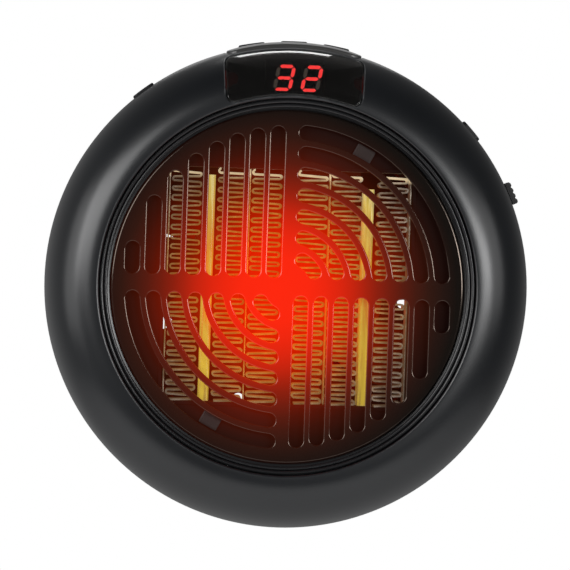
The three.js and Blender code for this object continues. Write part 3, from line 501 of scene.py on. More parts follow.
def rod(radius, start, end, sides=32):
    return lathe([(0, start), (radius, start), (radius, end), (0, end)], sides)


def moved(bm, radius, angle=0):
    bmesh.ops.translate(bm, verts=bm.verts, vec=at(radius, angle, 0))
    return bm


def arc(x, y, radius, start, end, steps, height=None):
    """Points on a circle, or on an ellipse when its height is given."""
    height = radius if height is None else height
    turns = [math.radians(start + (end - start) * i / steps) for i in range(steps + 1)]
    return [(x + radius * math.cos(t), y + height * math.sin(t)) for t in turns]


def rounded_outline(width, length, corner, steps=6, side=10):
    """Points round a rounded rectangle, which draws in by an inset. Their count stays the same."""

    def outline(inset=0.0):
        x, y = width / 2 - inset, length / 2 - inset
        r = max(corner - inset, 0.05)
        corners = [
            arc(x - r, y - r, r, 0, 90, steps),
            arc(r - x, y - r, r, 90, 180, steps),
            arc(r - x, r - y, r, 180, 270, steps),
            arc(x - r, r - y, r, 270, 360, steps),
        ]
        points = []
        for here, after in zip(corners, corners[1:] + corners[:1]):
            points += here
            (ax, ay), (bx, by) = here[-1], after[0]
            for i in range(1, side):
                points.append((ax + (bx - ax) * i / side, ay + (by - ay) * i / side))
        return points

    return outline


def panel_outline(inner, outer, side, slant, corner, steps=8, count=26):
    """Points round a rounded panel between two arcs, centred on the top of the body. Its sides
    lean by an angle, and the lines they lie on pass the axis at a distance."""

    def outline(inset=0.0):
        low, high, r = inner + inset, outer - inset, max(corner - inset, 0.05)
        beside = side - inset - r
        high_end = slant + math.degrees(math.asin(beside / (high - r)))
        low_end = slant + math.degrees(math.asin(beside / (low + r)))

        def polar(radius, angle):
            turn = math.radians(angle)
            return radius * math.sin(turn), radius * math.cos(turn)

        right = [polar(high, high_end * (i + 0.5) / count) for i in range(count)]
        for radius, middle, start, end in (
            (high - r, high_end, high_end, slant + 90),
            (low + r, low_end, slant + 90, low_end + 180),
        ):
            x, z = polar(radius, middle)
            for i in range(steps + 1):
                dx, dz = polar(r, start + (end - start) * i / steps)
                right.append((x + dx, z + dz))
        right += [polar(low, low_end * (1 - (i + 0.5) / count)) for i in range(count)]
        return right + [(-x, z) for x, z in reversed(right)]

    return outline


def front_depth(radius, rise=0.0):
    """Depth of the bezel's skin at a radius, or of a skin that stands proud of it."""
    if radius >= CREST_RADIUS:
        share = (radius - CREST_RADIUS) / (BODY_RADIUS - CREST_RADIUS + rise)
        height = CREST_DEPTH - SHOULDER + rise
        return SHOULDER + height * math.sqrt(max(1 - share * share, 0))
    share = (CREST_RADIUS - radius) / (CREST_ROUNDING + rise)
    return CREST_DEPTH - CREST_DROP + (CREST_DROP + rise) * math.sqrt(max(1 - share * share, 0))


def side_radius(depth):
    """Radius of the bezel's skin at a depth."""
    share = max(depth - SHOULDER, 0) / (CREST_DEPTH - SHOULDER)
    return CREST_RADIUS + (BODY_RADIUS - CREST_RADIUS) * math.sqrt(max(1 - share**2, 0))


def on_front(point, rise):
    x, z = point
    return Vector((x, -front_depth(math.hypot(x, z), rise), z)) * MM


def on_window(foot):
    """Puts points on the bezel's skin, but no further back than a depth."""

    def place(point, rise):
        spot = on_front(point, rise)
        spot.y = min(spot.y, -foot * MM)
        return spot

    return place


def on_rim(angle, depth, across=0.0):
    """Puts points on the rim: across it, and along the depth from a middle."""

    def place(point, rise):
        x, z = point[0] + across, depth - point[1]
        radius = side_radius(z) + rise
        return turned((x, -z, math.sqrt(radius * radius - x * x)), angle) * MM

    return place


def tapered(place, half, drop):
    """Lowers the rise of a raised strip towards its two ends."""

    def lowered(point, rise):
        share = 1 - drop * (point[0] / half) ** 4
        return place(point, rise * share if rise > 0 else rise)

    return lowered


def on_flat(angle, depth, crown=0.0, half=4.0):
    """Puts points at a straight height over the rim, with a slight crown across."""

    def place(point, height):
        x, z = point[0], depth - point[1]
        swell = crown * (1 - (x / half) ** 2) * (1 - (point[1] / half) ** 2)
        return turned((x, -z, height + swell), angle) * MM

    return place


def lidded(outline, levels, place, rows=8):
    """A closed cap from rings of (inset, rise), its lid and floor made of shrinking rings."""

    def shrinking(inset, rise):
        edge = outline(inset)
        x = sum(p[0] for p in edge) / len(edge)
        y = sum(p[1] for p in edge) / len(edge)
        rings = []
        for row in range(1, rows):
            share = 1 - row / rows
            ring = [(x + (p[0] - x) * share, y + (p[1] - y) * share) for p in edge]
            rings.append([place(p, rise) for p in ring])
        return [*rings, [place((x, y), rise)]]

    floor = shrinking(*levels[0])
    lid = shrinking(*levels[-1])
    walls = [[place(p, rise) for p in outline(inset)] for inset, rise in levels]
    return skinned([*reversed(floor), *walls, *lid], capped=False)


def rounded_levels(floor, top, radius, steps=4):
    """Levels of (inset, rise) from a floor up a wall and over a rounded edge."""
    return [(0.0, floor), *arc(radius, top - radius, radius, 180, 90, steps)]


def mouth_levels(floor, gap=CLEARANCE, flare=0.3, rise=2.5):
    """Levels of a cutter whose mouth opens in a small rounding at the surface."""
    curve = arc(-gap - flare, -flare, flare, 0, 90, 3)
    return [(-gap, floor), *curve, (-gap - flare - 0.02, rise)]


def gathered(items, name, width=1, kind=float):
    """One property of many mesh elements as an array."""
    values = np.empty(len(items) * width, kind)
    items.foreach_get(name, values)
    return values.reshape(-1, width) if width > 1 else values


def profile_directions(profile):
    """Start, step, length and direction across for each line of a profile, and the direction at
    both its ends, which is shared with the next line unless the profile has a corner there."""
    closed = profile[0][0] > 0
    line = np.array([*profile, profile[0]] if closed else profile) * MM
    step = np.diff(line, axis=0)
    length = np.linalg.norm(step, axis=1)
    keep = length > 1e-9
    start, step, length = line[:-1][keep], step[keep], length[keep]
    across = np.stack([step[:, 1], -step[:, 0]], axis=1) / length[:, None]
    ends = []
    for offset in (-1, 1):
        other = np.roll(across, -offset, axis=0)
        even = (across * other).sum(1) > math.cos(math.radians(CORNER_ANGLE))
        if not closed:
            even[0 if offset < 0 else -1] = False
        mixed = across + other
        mixed /= np.maximum(np.linalg.norm(mixed, axis=1)[:, None], 1e-9)
        ends.append(np.where(even[:, None], mixed, across))
    return start, step, length, across, ends


def turned_shading(obj, profile):
    """Gives turned faces the directions of their true profile, so that cuts leave no dents."""
    start, step, length, across, ends = profile_directions(profile)
    mesh = obj.data
    middle = gathered(mesh.polygons, "center", 3)
    facing = gathered(mesh.polygons, "normal", 3)
    flat = np.stack([np.hypot(middle[:, 0], middle[:, 2]), -middle[:, 1]], axis=1)
    away = middle[:, [0, 2]]
    away = away / np.maximum(np.linalg.norm(away, axis=1)[:, None], 1e-9)
    outward = np.stack([(facing[:, [0, 2]] * away).sum(1), -facing[:, 1]], axis=1)
    best = np.full(len(middle), 1.0)
    owner = np.zeros(len(middle), int)
    for i in range(len(across)):
        reach = np.clip(((flat - start[i]) @ step[i]) / length[i] ** 2, 0, 1)
        gap = np.linalg.norm(flat - start[i] - reach[:, None] * step[i], axis=1)
        gap = np.where(np.abs(outward @ across[i]) > SAME_DIRECTION, gap, 1.0)
        closer = gap < best
        best[closer], owner[closer] = gap[closer], i
    sign = np.sign((outward * across[owner]).sum(1))
    face = np.repeat(np.arange(len(middle)), gathered(mesh.polygons, "loop_total", kind=int))
    spot = gathered(mesh.vertices, "co", 3)[gathered(mesh.loops, "vertex_index", kind=int)]
    radius = np.hypot(spot[:, 0], spot[:, 2])
    own = owner[face]
    place = np.stack([radius, -spot[:, 1]], axis=1) - start[own]
    share = np.clip((place * step[own]).sum(1) / length[own] ** 2, 0, 1)[:, None]
    out = (ends[0][own] * (1 - share) + ends[1][own] * share) * sign[face][:, None]
    radius = np.maximum(radius, 1e-9)
    normals = np.stack(
        [out[:, 0] * spot[:, 0] / radius, -out[:, 1], out[:, 0] * spot[:, 2] / radius], axis=1)
    normals[(best >= PROFILE_REACH * MM)[face] | (radius < 1e-6)] = 0
    mesh.normals_split_custom_set(normals)
    return obj


def copied(node, name, finish):
    """A joined-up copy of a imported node's mesh, free to be shaped."""
    bm = bmesh.new()
    bm.from_mesh(frame["nodes"][node].data)
    bmesh.ops.remove_doubles(bm, verts=bm.verts, dist=2e-6)
    bmesh.ops.dissolve_limit(bm, angle_limit=math.radians(1), verts=bm.verts, edges=bm.edges)
    return piece_from(name, bm, finish)


def fitted(obj, body, slot, *nodes):
    """Sets a finished piece to move with its body and hides the imported nodes that it stands for.
    The slot is not used.
    """
    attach(obj, body)
    if nodes:
        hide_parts(*nodes)


# Finishes


BLACK = (0.0, 0.0, 0.0, 1)
GREY = (0.5, 0.5, 0.5, 1)

# Painted glow: colours of the element's red light on parts that are no lamp, by the distance from
# the element's middle
GLOW_STOPS = (
    (0.0, (0.99, 0.0155, 0.0)),
    (0.18, (0.96, 0.0155, 0.0)),
    (0.28, (0.84, 0.0145, 0.0)),
    (0.35, (0.72, 0.0135, 0.0)),
    (0.43, (0.55, 0.0120, 0.0)),
    (0.50, (0.37, 0.0100, 0.0)),
    (0.56, (0.25, 0.0083, 0.0)),
    (0.63, (0.155, 0.0068, 0.0002)),
    (0.70, (0.088, 0.0055, 0.0005)),
    (0.77, (0.048, 0.0045, 0.0008)),
    (0.84, (0.024, 0.0035, 0.0010)),
    (0.92, (0.010, 0.0018, 0.0008)),
    (1.0, (0.0, 0.0, 0.0)),
)
# Painted glow of the fins and the film bars, by the distance from the element's middle
FIN_STOPS = (
    (0.0, (0.95, 0.11, 0.008)),
    (0.14, (0.93, 0.12, 0.009)),
    (0.28, (0.86, 0.16, 0.012)),
    (0.42, (0.66, 0.17, 0.018)),
    (0.56, (0.44, 0.15, 0.028)),
    (0.68, (0.25, 0.12, 0.040)),
    (0.80, (0.12, 0.070, 0.035)),
    (1.0, (0.05, 0.034, 0.022)),
)
# Aluminium colour tinted orange near the middle by the painted glow
METAL_PAINTED_GLOW_STOPS = (
    (0.0, (0.66, 0.20, 0.020)),
    (0.3, (0.60, 0.26, 0.030)),
    (0.5, (0.52, 0.31, 0.08)),
    (0.65, (0.48, 0.34, 0.18)),
    (0.8, (0.48, 0.38, 0.30)),
    (1.0, (0.50, 0.44, 0.38)),
)
# Painted reflection of the glow on the grille's slot edges, by the distance from the middle
EDGE_PAINTED_REFLECTION_STOPS = (
    (0.0, (0.95, 0.09, 0.004)),
    (0.25, (0.80, 0.13, 0.006)),
    (0.45, (0.42, 0.10, 0.012)),
    (0.62, (0.16, 0.06, 0.016)),
    (0.8, (0.04, 0.022, 0.014)),
    (1.0, (0.0, 0.0, 0.0)),
)


def shader_tree(name, inputs, outputs):
    nodes = NodeTree(name, "ShaderNodeTree", {"Place": "vector", **inputs}, outputs)
    return nodes, nodes.given("Place")


def grain_tree():
    """Fine grain as a relief, and how unevenly it is polished."""
    nodes, place = shader_tree("moulded grain", {"Grain Size": 0.0004, "Unevenness": 0.4},
                               {"Height": "number", "Polish": "number"})
    scale = 1.0 / nodes.given("Grain Size")
    fine = nodes.noise(place, scale, 3.0, Roughness=0.6)
    pits = nodes.made("ShaderNodeTexVoronoi", {"Vector": place, "Scale": scale * 0.8}, "Distance")
    broad = nodes.noise(place, 60.0, 4.0)
    nodes.give("Height", fine * 0.65 + pits * 0.35)
    uneven = broad - 0.5 + (fine - 0.5) * 0.5
    nodes.give("Polish", uneven * nodes.given("Unevenness") + 0.5)
    return nodes.tree


def tone_tree():
    """A colour that drifts between two in soft patches."""
    nodes, place = shader_tree("drift of tone", {"First": GREY, "Second": GREY},
                               {"Colour": "colour"})
    cloud = nodes.spread(nodes.noise(place, 1 / PATCH_SIZE, 5.0, Roughness=0.55), 0.3, 0.7)
    nodes.give("Colour", nodes.mixed(cloud, nodes.given("First"), nodes.given("Second")))
    return nodes.tree


def wear_and_highlight_tree():
    """A mask of edges, broken up in patches, that lightens them as scuffing and as a painted
    highlight.
    """
    nodes, place = shader_tree("worn edges", {"Reach": 0.0005, "Amount": 0.6}, {"Mask": "number"})
    rounded = nodes.made("ShaderNodeBevel", {"Radius": nodes.given("Reach")}, samples=4)
    surface = nodes.made("ShaderNodeNewGeometry", output="Normal")
    meeting = nodes.made("ShaderNodeVectorMath", {0: rounded, 1: surface}, "Value",
                         operation="DOT_PRODUCT")
    patches = nodes.spread(nodes.noise(place, 420.0, 6.0), 0.35, 0.65)
    mask = (1.0 - meeting) * 6.0 * patches * nodes.given("Amount")
    nodes.give("Mask", mask.work("MINIMUM", 1.0))
    return nodes.tree


def glow_tree():
    """The element's red light painted on as a glow, and how far a place is from its middle as a
    share.
    """
    nodes, place = shader_tree("heat glow", {"Middle": GLOW_MIDDLE},
                               {"Colour": "colour", "Share": "number"})
    x = nodes.axis(place, 0) - nodes.given("Middle")
    z = nodes.axis(place, 2) + GLOW_DROP
    share = (x * x + z * z).root() / GLOW_REACH
    nodes.give("Colour", nodes.ramp(share, GLOW_STOPS))
    nodes.give("Share", share)
    return nodes.tree


class Finish(NodeWork):
    """A material whose nodes are added step by step."""

    def __init__(self, name, **settings):
        self.material = bpy.data.materials.new(name)
        self.material.use_nodes = True
        self.material.cycles.emission_sampling = "NONE"
        FINISHES[name] = self.material
        super().__init__(self.material.node_tree)
        self.shader = self.tree.nodes["Principled BSDF"]
        self.place = self.made("ShaderNodeTexCoord", output="Object")
        for socket, value in settings.items():
            self.into(socket.replace("_", " "), value)

    def effect(self, name, output, **inputs):
        """One output of an effect that finishes share."""
        inputs = {label.replace("_", " "): value for label, value in inputs.items()}
        return self.made(
            "ShaderNodeGroup", {"Place": self.place, **inputs}, output, node_tree=EFFECTS[name])

    def into(self, socket, value):
        feed(self.tree, self.shader.inputs[socket], value)


def tint(colour, factor=1.0):
    return tuple(min(c * factor, 1.0) for c in colour[:3]) + (1.0,)


def moulded(name, colour, roughness, grain=0.0004, bump=0.00004, drift=0.18, wear=0.35,
            worn_and_lit=None, wear_and_highlight_reach=0.0005, uneven=0.3, glow=None, middle=GLOW_MIDDLE, **settings):
    """Moulded plastic and the like: grain, drift of tone, edges lightened as scuffing and as a
    painted highlight, uneven polish, and the element's red light painted on as a glow where one is
    given."""
    finish = Finish(name, **settings)
    tone = finish.effect(
        "tone", "Colour", First=tint(colour, 1 - drift), Second=tint(colour, 1 + drift))
    finish.edge = finish.effect("wear", "Mask", Reach=wear_and_highlight_reach, Amount=wear)
    # Edges lighten to this colour, partly as scuffing and partly as a painted highlight
    worn_and_lit_colour = tint(worn_and_lit) if worn_and_lit else tint(colour, 2.4)
    finish.into("Base Color", finish.mixed(finish.edge, tone, worn_and_lit_colour))
    height, polish = (finish.effect("grain", output, Grain_Size=grain, Unevenness=uneven)
                      for output in ("Height", "Polish"))
    finish.into("Roughness", polish * (roughness * 0.5) + roughness * 0.75)
    finish.into("Normal", finish.made(
        "ShaderNodeBump", {"Height": height, "Distance": bump, "Strength": 1.0}))
    # The element's red light painted on as emission, on a part that is no lamp
    if glow:
        finish.heat = finish.effect("glow", "Colour", Middle=middle)
        finish.into("Emission Color", finish.heat)
        finish.into("Emission Strength", glow)
    return finish


def build_finishes(colours):
    EFFECTS.update(grain=grain_tree(), tone=tone_tree(), wear=wear_and_highlight_tree(), glow=glow_tree())
    case_finishes(colours)
    display_finishes(colours)
    metal_finishes()
    element_finishes()
    inner_finishes()


def case_finishes(colours):
    # Lighter edges on the case are a painted highlight: the thin light line round the window and
    # the openings
    moulded("case_plastic", colours.case, 0.29, grain=0.00045, bump=0.000008, drift=0.1,
            wear=0.8, worn_and_lit=(0.15, 0.154, 0.16), uneven=0.16, Specular_IOR_Level=0.8)
    moulded("turned_trim", (0.009, 0.009, 0.010), 0.26, bump=0.000004, wear=0.3,
            Specular_IOR_Level=0.7)
    # The grille glows with the element's painted light, its slot edges carry painted highlights,
    # and near the middle they carry a painted orange reflection of the glow
    grille = moulded("smoked_plastic", colours.grille, 0.11, grain=0.0012, bump=0.000002,
                     drift=0.1, wear=0.6, worn_and_lit=(0.12, 0.092, 0.08), wear_and_highlight_reach=0.0004, glow=1.0,
                     Specular_IOR_Level=0.9, Specular_Tint=(1.0, 0.82, 0.70, 1))
    lit_edge = grille.ramp(grille.effect("glow", "Share"), EDGE_PAINTED_REFLECTION_STOPS)
    grille.into("Emission Color", grille.mixed(grille.edge, grille.heat, lit_edge))
    moulded("strip_plastic", (0.040, 0.039, 0.038), 0.30, grain=0.0003, bump=0.00002, wear=0.3,
            Specular_IOR_Level=0.8)
    moulded("button_plastic", (0.012, 0.012, 0.013), 0.34, bump=0.00002)
    moulded("pad_plastic", (0.014, 0.014, 0.016), 0.42, bump=0.00002)
    moulded("knob_plastic", (0.013, 0.013, 0.014), 0.36, bump=0.00003, wear=0.6)
    moulded("plug_plastic", (0.022, 0.022, 0.024), 0.42)


def display_finishes(colours):
    glass = (0.11, 0.105, 0.10)
    # The window's edges emit a light grey: a painted highlight that outlines it
    window = moulded("window_glass", glass, 0.035, grain=0.004, bump=0.000002, drift=0.05,
                     wear=0.9, worn_and_lit=glass, wear_and_highlight_reach=0.0004, uneven=0.1,
                     Transmission_Weight=1.0, IOR=1.49, Emission_Strength=0.5)
    window.into("Emission Color", window.mixed(window.edge, BLACK, (0.40, 0.40, 0.39, 1)))
    # The module's edges emit a pale tone: painted highlight lines round it
    body = moulded("led_body", (0.035, 0.031, 0.030), 0.35, bump=0.00001, wear=0.8,
                   worn_and_lit=(0.45, 0.40, 0.37), wear_and_highlight_reach=0.0004, Emission_Strength=1.0)
    body.into("Emission Color", body.mixed(body.edge, BLACK, (0.34, 0.30, 0.29, 1)))
    # Unlit segments emit a pale tone: painted light on their faces behind the smoked window
    moulded("led_unlit", (0.46, 0.37, 0.32), 0.4, bump=0.00001,
            Emission_Color=(0.36, 0.30, 0.25, 1), Emission_Strength=0.9)
    lit = moulded("led_lit", (0.6, 0.02, 0.015), 0.3, bump=0.000005, wear=0.0,
                  Emission_Strength=9.5)
    lit.into("Emission Color", lit.mixed(
        lit.noise(lit.place, 900.0, 1.0), tint(colours.digits, 0.8), tint(colours.digits, 1.25)))


def metal_finishes():
    bare = {"wear": 0.4, "Metallic": 1.0}
    moulded("tact_switch_metal", (0.50, 0.50, 0.50), 0.34, grain=0.0003, bump=0.00001,
            worn_and_lit=(0.7, 0.7, 0.7), **bare)
    moulded("screw_steel", (0.30, 0.30, 0.31), 0.34, grain=0.0003, bump=0.00001,
            worn_and_lit=(0.62, 0.62, 0.62), **bare)
    # The motor's steel carries the element's painted glow
    moulded("motor_steel", (0.42, 0.42, 0.43), 0.36, grain=0.0005, bump=0.00001,
            worn_and_lit=(0.6, 0.6, 0.6), glow=1.0, middle=0.0, **bare)
    moulded("rotor_iron", (0.22, 0.21, 0.20), 0.45, grain=0.0006, worn_and_lit=(0.45, 0.44, 0.43), **bare)
    moulded("bearing_bronze", (0.52, 0.33, 0.16), 0.38, worn_and_lit=(0.72, 0.52, 0.3), **bare)
    moulded("contact_brass", (0.66, 0.46, 0.16), 0.3, bump=0.00001, worn_and_lit=(0.85, 0.66, 0.35),
            **bare)
    pin = moulded("pin_metal", (0.56, 0.55, 0.53), 0.26, grain=0.0006, bump=0.000006,
                  worn_and_lit=(0.74, 0.73, 0.7), **bare)
    rings = pin.made(
        "ShaderNodeTexWave",
        {"Vector": pin.place, "Scale": 900.0, "Distortion": 1.5, "Detail": 2.0}, "Fac",
        bands_direction="Y")
    pin.into("Roughness", rings * 0.12 + 0.2)


def element_finishes():
    """Aluminium fins and film-wrapped bars with the element's red light painted into them as a
    glow, and the frame.
    """
    fins = moulded("fin_aluminium", (0.40, 0.31, 0.22), 0.36, grain=0.0005, bump=0.00001,
                   drift=0.25, wear=0.3, worn_and_lit=(0.62, 0.50, 0.36), wear_and_highlight_reach=0.0002,
                   Metallic=0.9, Emission_Strength=0.5)
    away = fins.effect("glow", "Share")
    patches = fins.spread(fins.noise(fins.place, 260.0, 3.0), 0.4, 0.65)
    # Near the middle the aluminium colour is tinted by the painted glow
    metal_painted_glow = fins.ramp(away, METAL_PAINTED_GLOW_STOPS)
    fins.into("Base Color", fins.mixed(patches, fins.mixed(0.55, metal_painted_glow, BLACK), metal_painted_glow))
    # The top fold glows almost white: a painted highlight where light from above catches it
    top = fins.spread(fins.axis(fins.place, 2), 0.0370, 0.0388)
    fins.into("Emission Color", fins.mixed(top, fins.ramp(away, FIN_STOPS), (1.0, 0.78, 0.46, 1)))

    film = moulded("amber_film", (0.58, 0.39, 0.025), 0.26, grain=0.0012, bump=0.00003,
                   drift=0.2, wear=0.5, worn_and_lit=(0.85, 0.6, 0.2), Emission_Strength=0.5)
    stretched = film.made("ShaderNodeVectorMath", {0: film.place, 1: (1.0, 1.0, 0.06)},
                          operation="MULTIPLY")
    streaks = film.spread(film.noise(stretched, 800.0), 0.46, 0.62)
    # Emission of the bars: painted glow low down, painted pale light higher up, painted highlights
    # on the edges
    painted_glow = film.ramp(film.effect("glow", "Share"), FIN_STOPS)
    lower = film.mixed(streaks, painted_glow, (0.58, 0.42, 0.05, 1))
    upper = film.mixed(streaks, (0.62, 0.52, 0.13, 1), (0.86, 0.82, 0.48, 1))
    rise = film.spread(film.axis(film.place, 2), 0.012, 0.034, 0.75)
    film.into("Emission Color", film.mixed(
        film.edge, film.mixed(rise, lower, upper), (0.95, 0.72, 0.34, 1)))

    # The frame and its clips carry the element's painted glow
    moulded("frame_plastic", (0.0028, 0.0012, 0.0009), 0.6, grain=0.0007, bump=0.00002,
            glow=0.9, Specular_IOR_Level=0.08)
    moulded("clip_plastic", (0.030, 0.020, 0.018), 0.5, grain=0.0006, glow=0.3,
            Specular_IOR_Level=0.25)


def inner_finishes():
    moulded("inner_plastic", (0.035, 0.035, 0.038), 0.5, grain=0.0006)
    # The duct, fan, relay and board carry the element's painted glow
    moulded("duct_plastic", (0.005, 0.0030, 0.0024), 0.55, grain=0.0006, glow=0.85,
            Specular_IOR_Level=0.2)
    moulded("fan_plastic", (0.006, 0.0040, 0.0035), 0.45, grain=0.0006, glow=0.85, middle=0.0,
            Specular_IOR_Level=0.25)
    moulded("motor_cap_plastic", (0.62, 0.60, 0.55), 0.45, grain=0.0006)
    moulded("thermostat_ceramic", (0.045, 0.040, 0.038), 0.4, grain=0.0003)
    moulded("fuse_ceramic", (0.66, 0.62, 0.54), 0.5, grain=0.0003)
    moulded("relay_plastic", (0.03, 0.05, 0.11), 0.35, grain=0.0005, glow=0.85, middle=0.0)
    moulded("lead_silicone", (0.36, 0.030, 0.022), 0.5, grain=0.0008)
    board = moulded("circuit_board", (0.012, 0.075, 0.035), 0.4, grain=0.0005, glow=0.85,
                    middle=0.0)
    board.into("Base Color", board.made(
        "ShaderNodeTexBrick",
        {"Vector": board.place, "Scale": 240.0, "Mortar Size": 0.09,
         "Color1": (0.012, 0.075, 0.035, 1), "Color2": (0.016, 0.095, 0.043, 1),
         "Mortar": (0.045, 0.17, 0.07, 1)}, "Color"))


# Pieces


def bezel_profile():
    tongue = BODY_RADIUS - WALL - CLEARANCE
    skin = arc(CREST_RADIUS, SHOULDER, BODY_RADIUS - CREST_RADIUS, 0, 90, 44,
               CREST_DEPTH - SHOULDER)
    crest = arc(CREST_RADIUS, CREST_DEPTH - CREST_DROP, CREST_ROUNDING, 90, 180, 12, CREST_DROP)
    inner = arc(CREST_RADIUS, SHOULDER, BODY_RADIUS - CREST_RADIUS - WALL, 90, 0, 16,
                CREST_DEPTH - SHOULDER - WALL)
    corner = arc(BODY_RADIUS - 0.5, PARTING + 0.5, 0.5, 270, 360, 4)
    return [
        (tongue, PARTING - 3), (tongue, PARTING), *corner, (BODY_RADIUS, 68),
        *skin, *crest[1:], (BEZEL_BORE, TRIM_SEAT), (62.6, TRIM_SEAT), (62.6, 92),
        (66.6, 92), *inner, (BODY_RADIUS - WALL, 64.8), (79.8, 62.4), (79.8, PARTING - 3),
    ]


def module_matrix():
    """From the display module's own face, seen from the room, to the body."""
    turn = Matrix.Rotation(-math.radians(MODULE_TILT), 4, "X")
    return Matrix.Translation(Vector(MODULE_PLACE) * MM) @ turn


def led_box(name, grow, ahead, *finish):
    """The display module's block, grown all round and carried forward by a distance."""
    width, thickness, height = MODULE_SIZE
    size = Vector((width + 2 * grow, thickness + grow + ahead, height + 2 * grow))
    middle = Vector((0, (thickness + grow - ahead) / 2, 0))
    bm = bmesh.new()
    bmesh.ops.create_cube(bm, size=1)
    bmesh.ops.scale(bm, verts=bm.verts, vec=size * MM)
    bmesh.ops.transform(
        bm, verts=bm.verts, matrix=module_matrix() @ Matrix.Translation(middle * MM))
    return piece_from(name, bm, *finish)


def cutter(outline, levels, place, rows=6):
    return piece_from("cutter", lidded(outline, levels, place, rows))


def moulding(name, finish, outline, levels, place, rows=8, angle=32):
    """A finished cap from rings of (inset, rise)."""
    return shaded(piece_from(name, lidded(outline, levels, place, rows), finish), angle)


def button_cutters():
    outline = rounded_outline(*BUTTON_SIZE, BUTTON_CORNER)
    levels = [(-CLEARANCE, BUTTON_FLOOR), (-CLEARANCE, BUTTON_TOP + 2)]
    return [cutter(outline, levels, on_flat(angle, BUTTON_DEPTH))
            for angle in BUTTON_ANGLES.values()]


def window_outline():
    return panel_outline(WINDOW_INNER, WINDOW_OUTER, WINDOW_SIDE, WINDOW_SLANT, WINDOW_CORNER)


class HEATER_OT_front_bezel(bpy.types.Operator):
    """Builds the front bezel with its window pocket, control openings and screw posts"""

    bl_idname = "heater.front_bezel"
    bl_label = "Front bezel"

    def execute(self, context):
        profile = bezel_profile()
        bezel = piece_from("bezel", lathe(profile, context.scene.heater.ring_sides), "case_plastic")
        cuts = [
            cutter(window_outline(), mouth_levels(-1.5), on_window(WINDOW_FOOT - CLEARANCE), 10),
            led_box("cutter", CLEARANCE, MODULE_VIEW),
            cutter(rounded_outline(*STRIP_SIZE, STRIP_CORNER, side=16), mouth_levels(-1.2),
                   on_rim(90, STRIP_DEPTH), 8),
            *button_cutters(),
            cutter(rounded_outline(8.2, 3.6, 0.6), [(0, -5), (0, 2)],
                   on_rim(SWITCH_ANGLE, SWITCH_DEPTH, -SWITCH_TRAVEL / 2)),
            *(cutter(rounded_outline(*PAD_SIZE, PAD_CORNER), mouth_levels(-1.5),
                     on_rim(angle, PAD_DEPTH)) for angle in PAD_ANGLES.values()),
        ]
        turned_shading(shaded(carved(bezel, cuts)), profile)
        fitted(bezel, "housing", "case_plastic", "front_bezel")
        posts = []
        for angle in SCREW_ANGLES:
            post = lathe([(SCREW_HOLE, POST_BACK), (POST_RADIUS, POST_BACK),
                          (POST_RADIUS, POST_FRONT), (SCREW_HOLE, POST_FRONT)], 24)
            post = piece_from("post", moved(post, SCREW_CIRCLE, angle), "case_plastic")
            posts.append(shaded(post, 40))
        fitted(joined("bezel_posts", posts), "housing", "case_plastic")
        return {"FINISHED"}


class HEATER_OT_rear_shell(bpy.types.Operator):
    """Builds the rear shell with its turret, air slots and screw recesses"""

    bl_idname = "heater.rear_shell"
    bl_label = "Rear shell"

    def execute(self, context):
        sides = context.scene.heater.ring_sides
        across = BODY_RADIUS - DOME_FOOT
        dome = arc(DOME_FOOT, DOME_FRONT, across, 270, 360, 40, DOME_RISE)
        inner = arc(DOME_FOOT, DOME_FRONT, across - WALL, 360, 270, 20, DOME_RISE - WALL)
        edge = PARTING - CLEARANCE
        lip = arc(BODY_RADIUS - 0.5, edge - 0.5, 0.5, 0, 90, 4)
        rim = arc(TURRET_RADIUS - 1.5, TURRET_BACK + 1.5, 1.5, 270, 360, 6)
        foot = arc(TURRET_RADIUS + 1.2, DOME_BACK - 1.2, 1.2, 180, 90, 5)
        profile = [
            (TURRET_BORE, TURRET_BACK), *rim, *foot, *dome, (BODY_RADIUS, DOME_FRONT + 2), *lip,
            (BODY_RADIUS - WALL, edge), *inner, (32, 33.5), (28.5, 33.5), (28.5, 25.0),
            (23.3, 25.0), (23.3, 21.5), (TURRET_BORE, 21.5),
        ]
        shell = piece_from("rear_case", lathe(profile, sides), "case_plastic")
        inside = arc(DOME_FOOT, DOME_FRONT, across - 0.5, 270, 360, 20, DOME_RISE - 0.5)
        within = lathe([(0, 33), (36, 33), *inside[1:], (84.5, 62), (0, 62)], 96)
        bosses = joined("bosses", [
            piece_from("boss", moved(rod(BOSS_RADIUS, 34, 60.1), SCREW_CIRCLE, angle))
            for angle in SCREW_ANGLES
        ])
        carved(bosses, [piece_from("within", within)], "INTERSECT")
        carved(shell, [bosses], "UNION")
        holes = [
            piece_from("hole", moved(rod(radius, start, end), SCREW_CIRCLE, angle))
            for angle in SCREW_ANGLES
            for radius, start, end in ((SCREW_RECESS, 25, SCREW_SEAT), (SCREW_HOLE, 40, 65))
        ]
        turned_shading(shaded(carved(shell, [*holes, vent_cutters()])), profile)
        # Faces inside the shell that are seen through the grille take the duct's finish with its
        # painted glow
        shell.data.materials.append(FINISHES["duct_plastic"])
        for face in shell.data.polygons:
            x, _, z = face.center
            if face.normal.y < -0.1 and math.hypot(x, z) < GRILLE_RADIUS * MM:
                face.material_index = len(shell.data.materials) - 1
        fitted(shell, "housing", "case_plastic", "rear_shell")
        return {"FINISHED"}


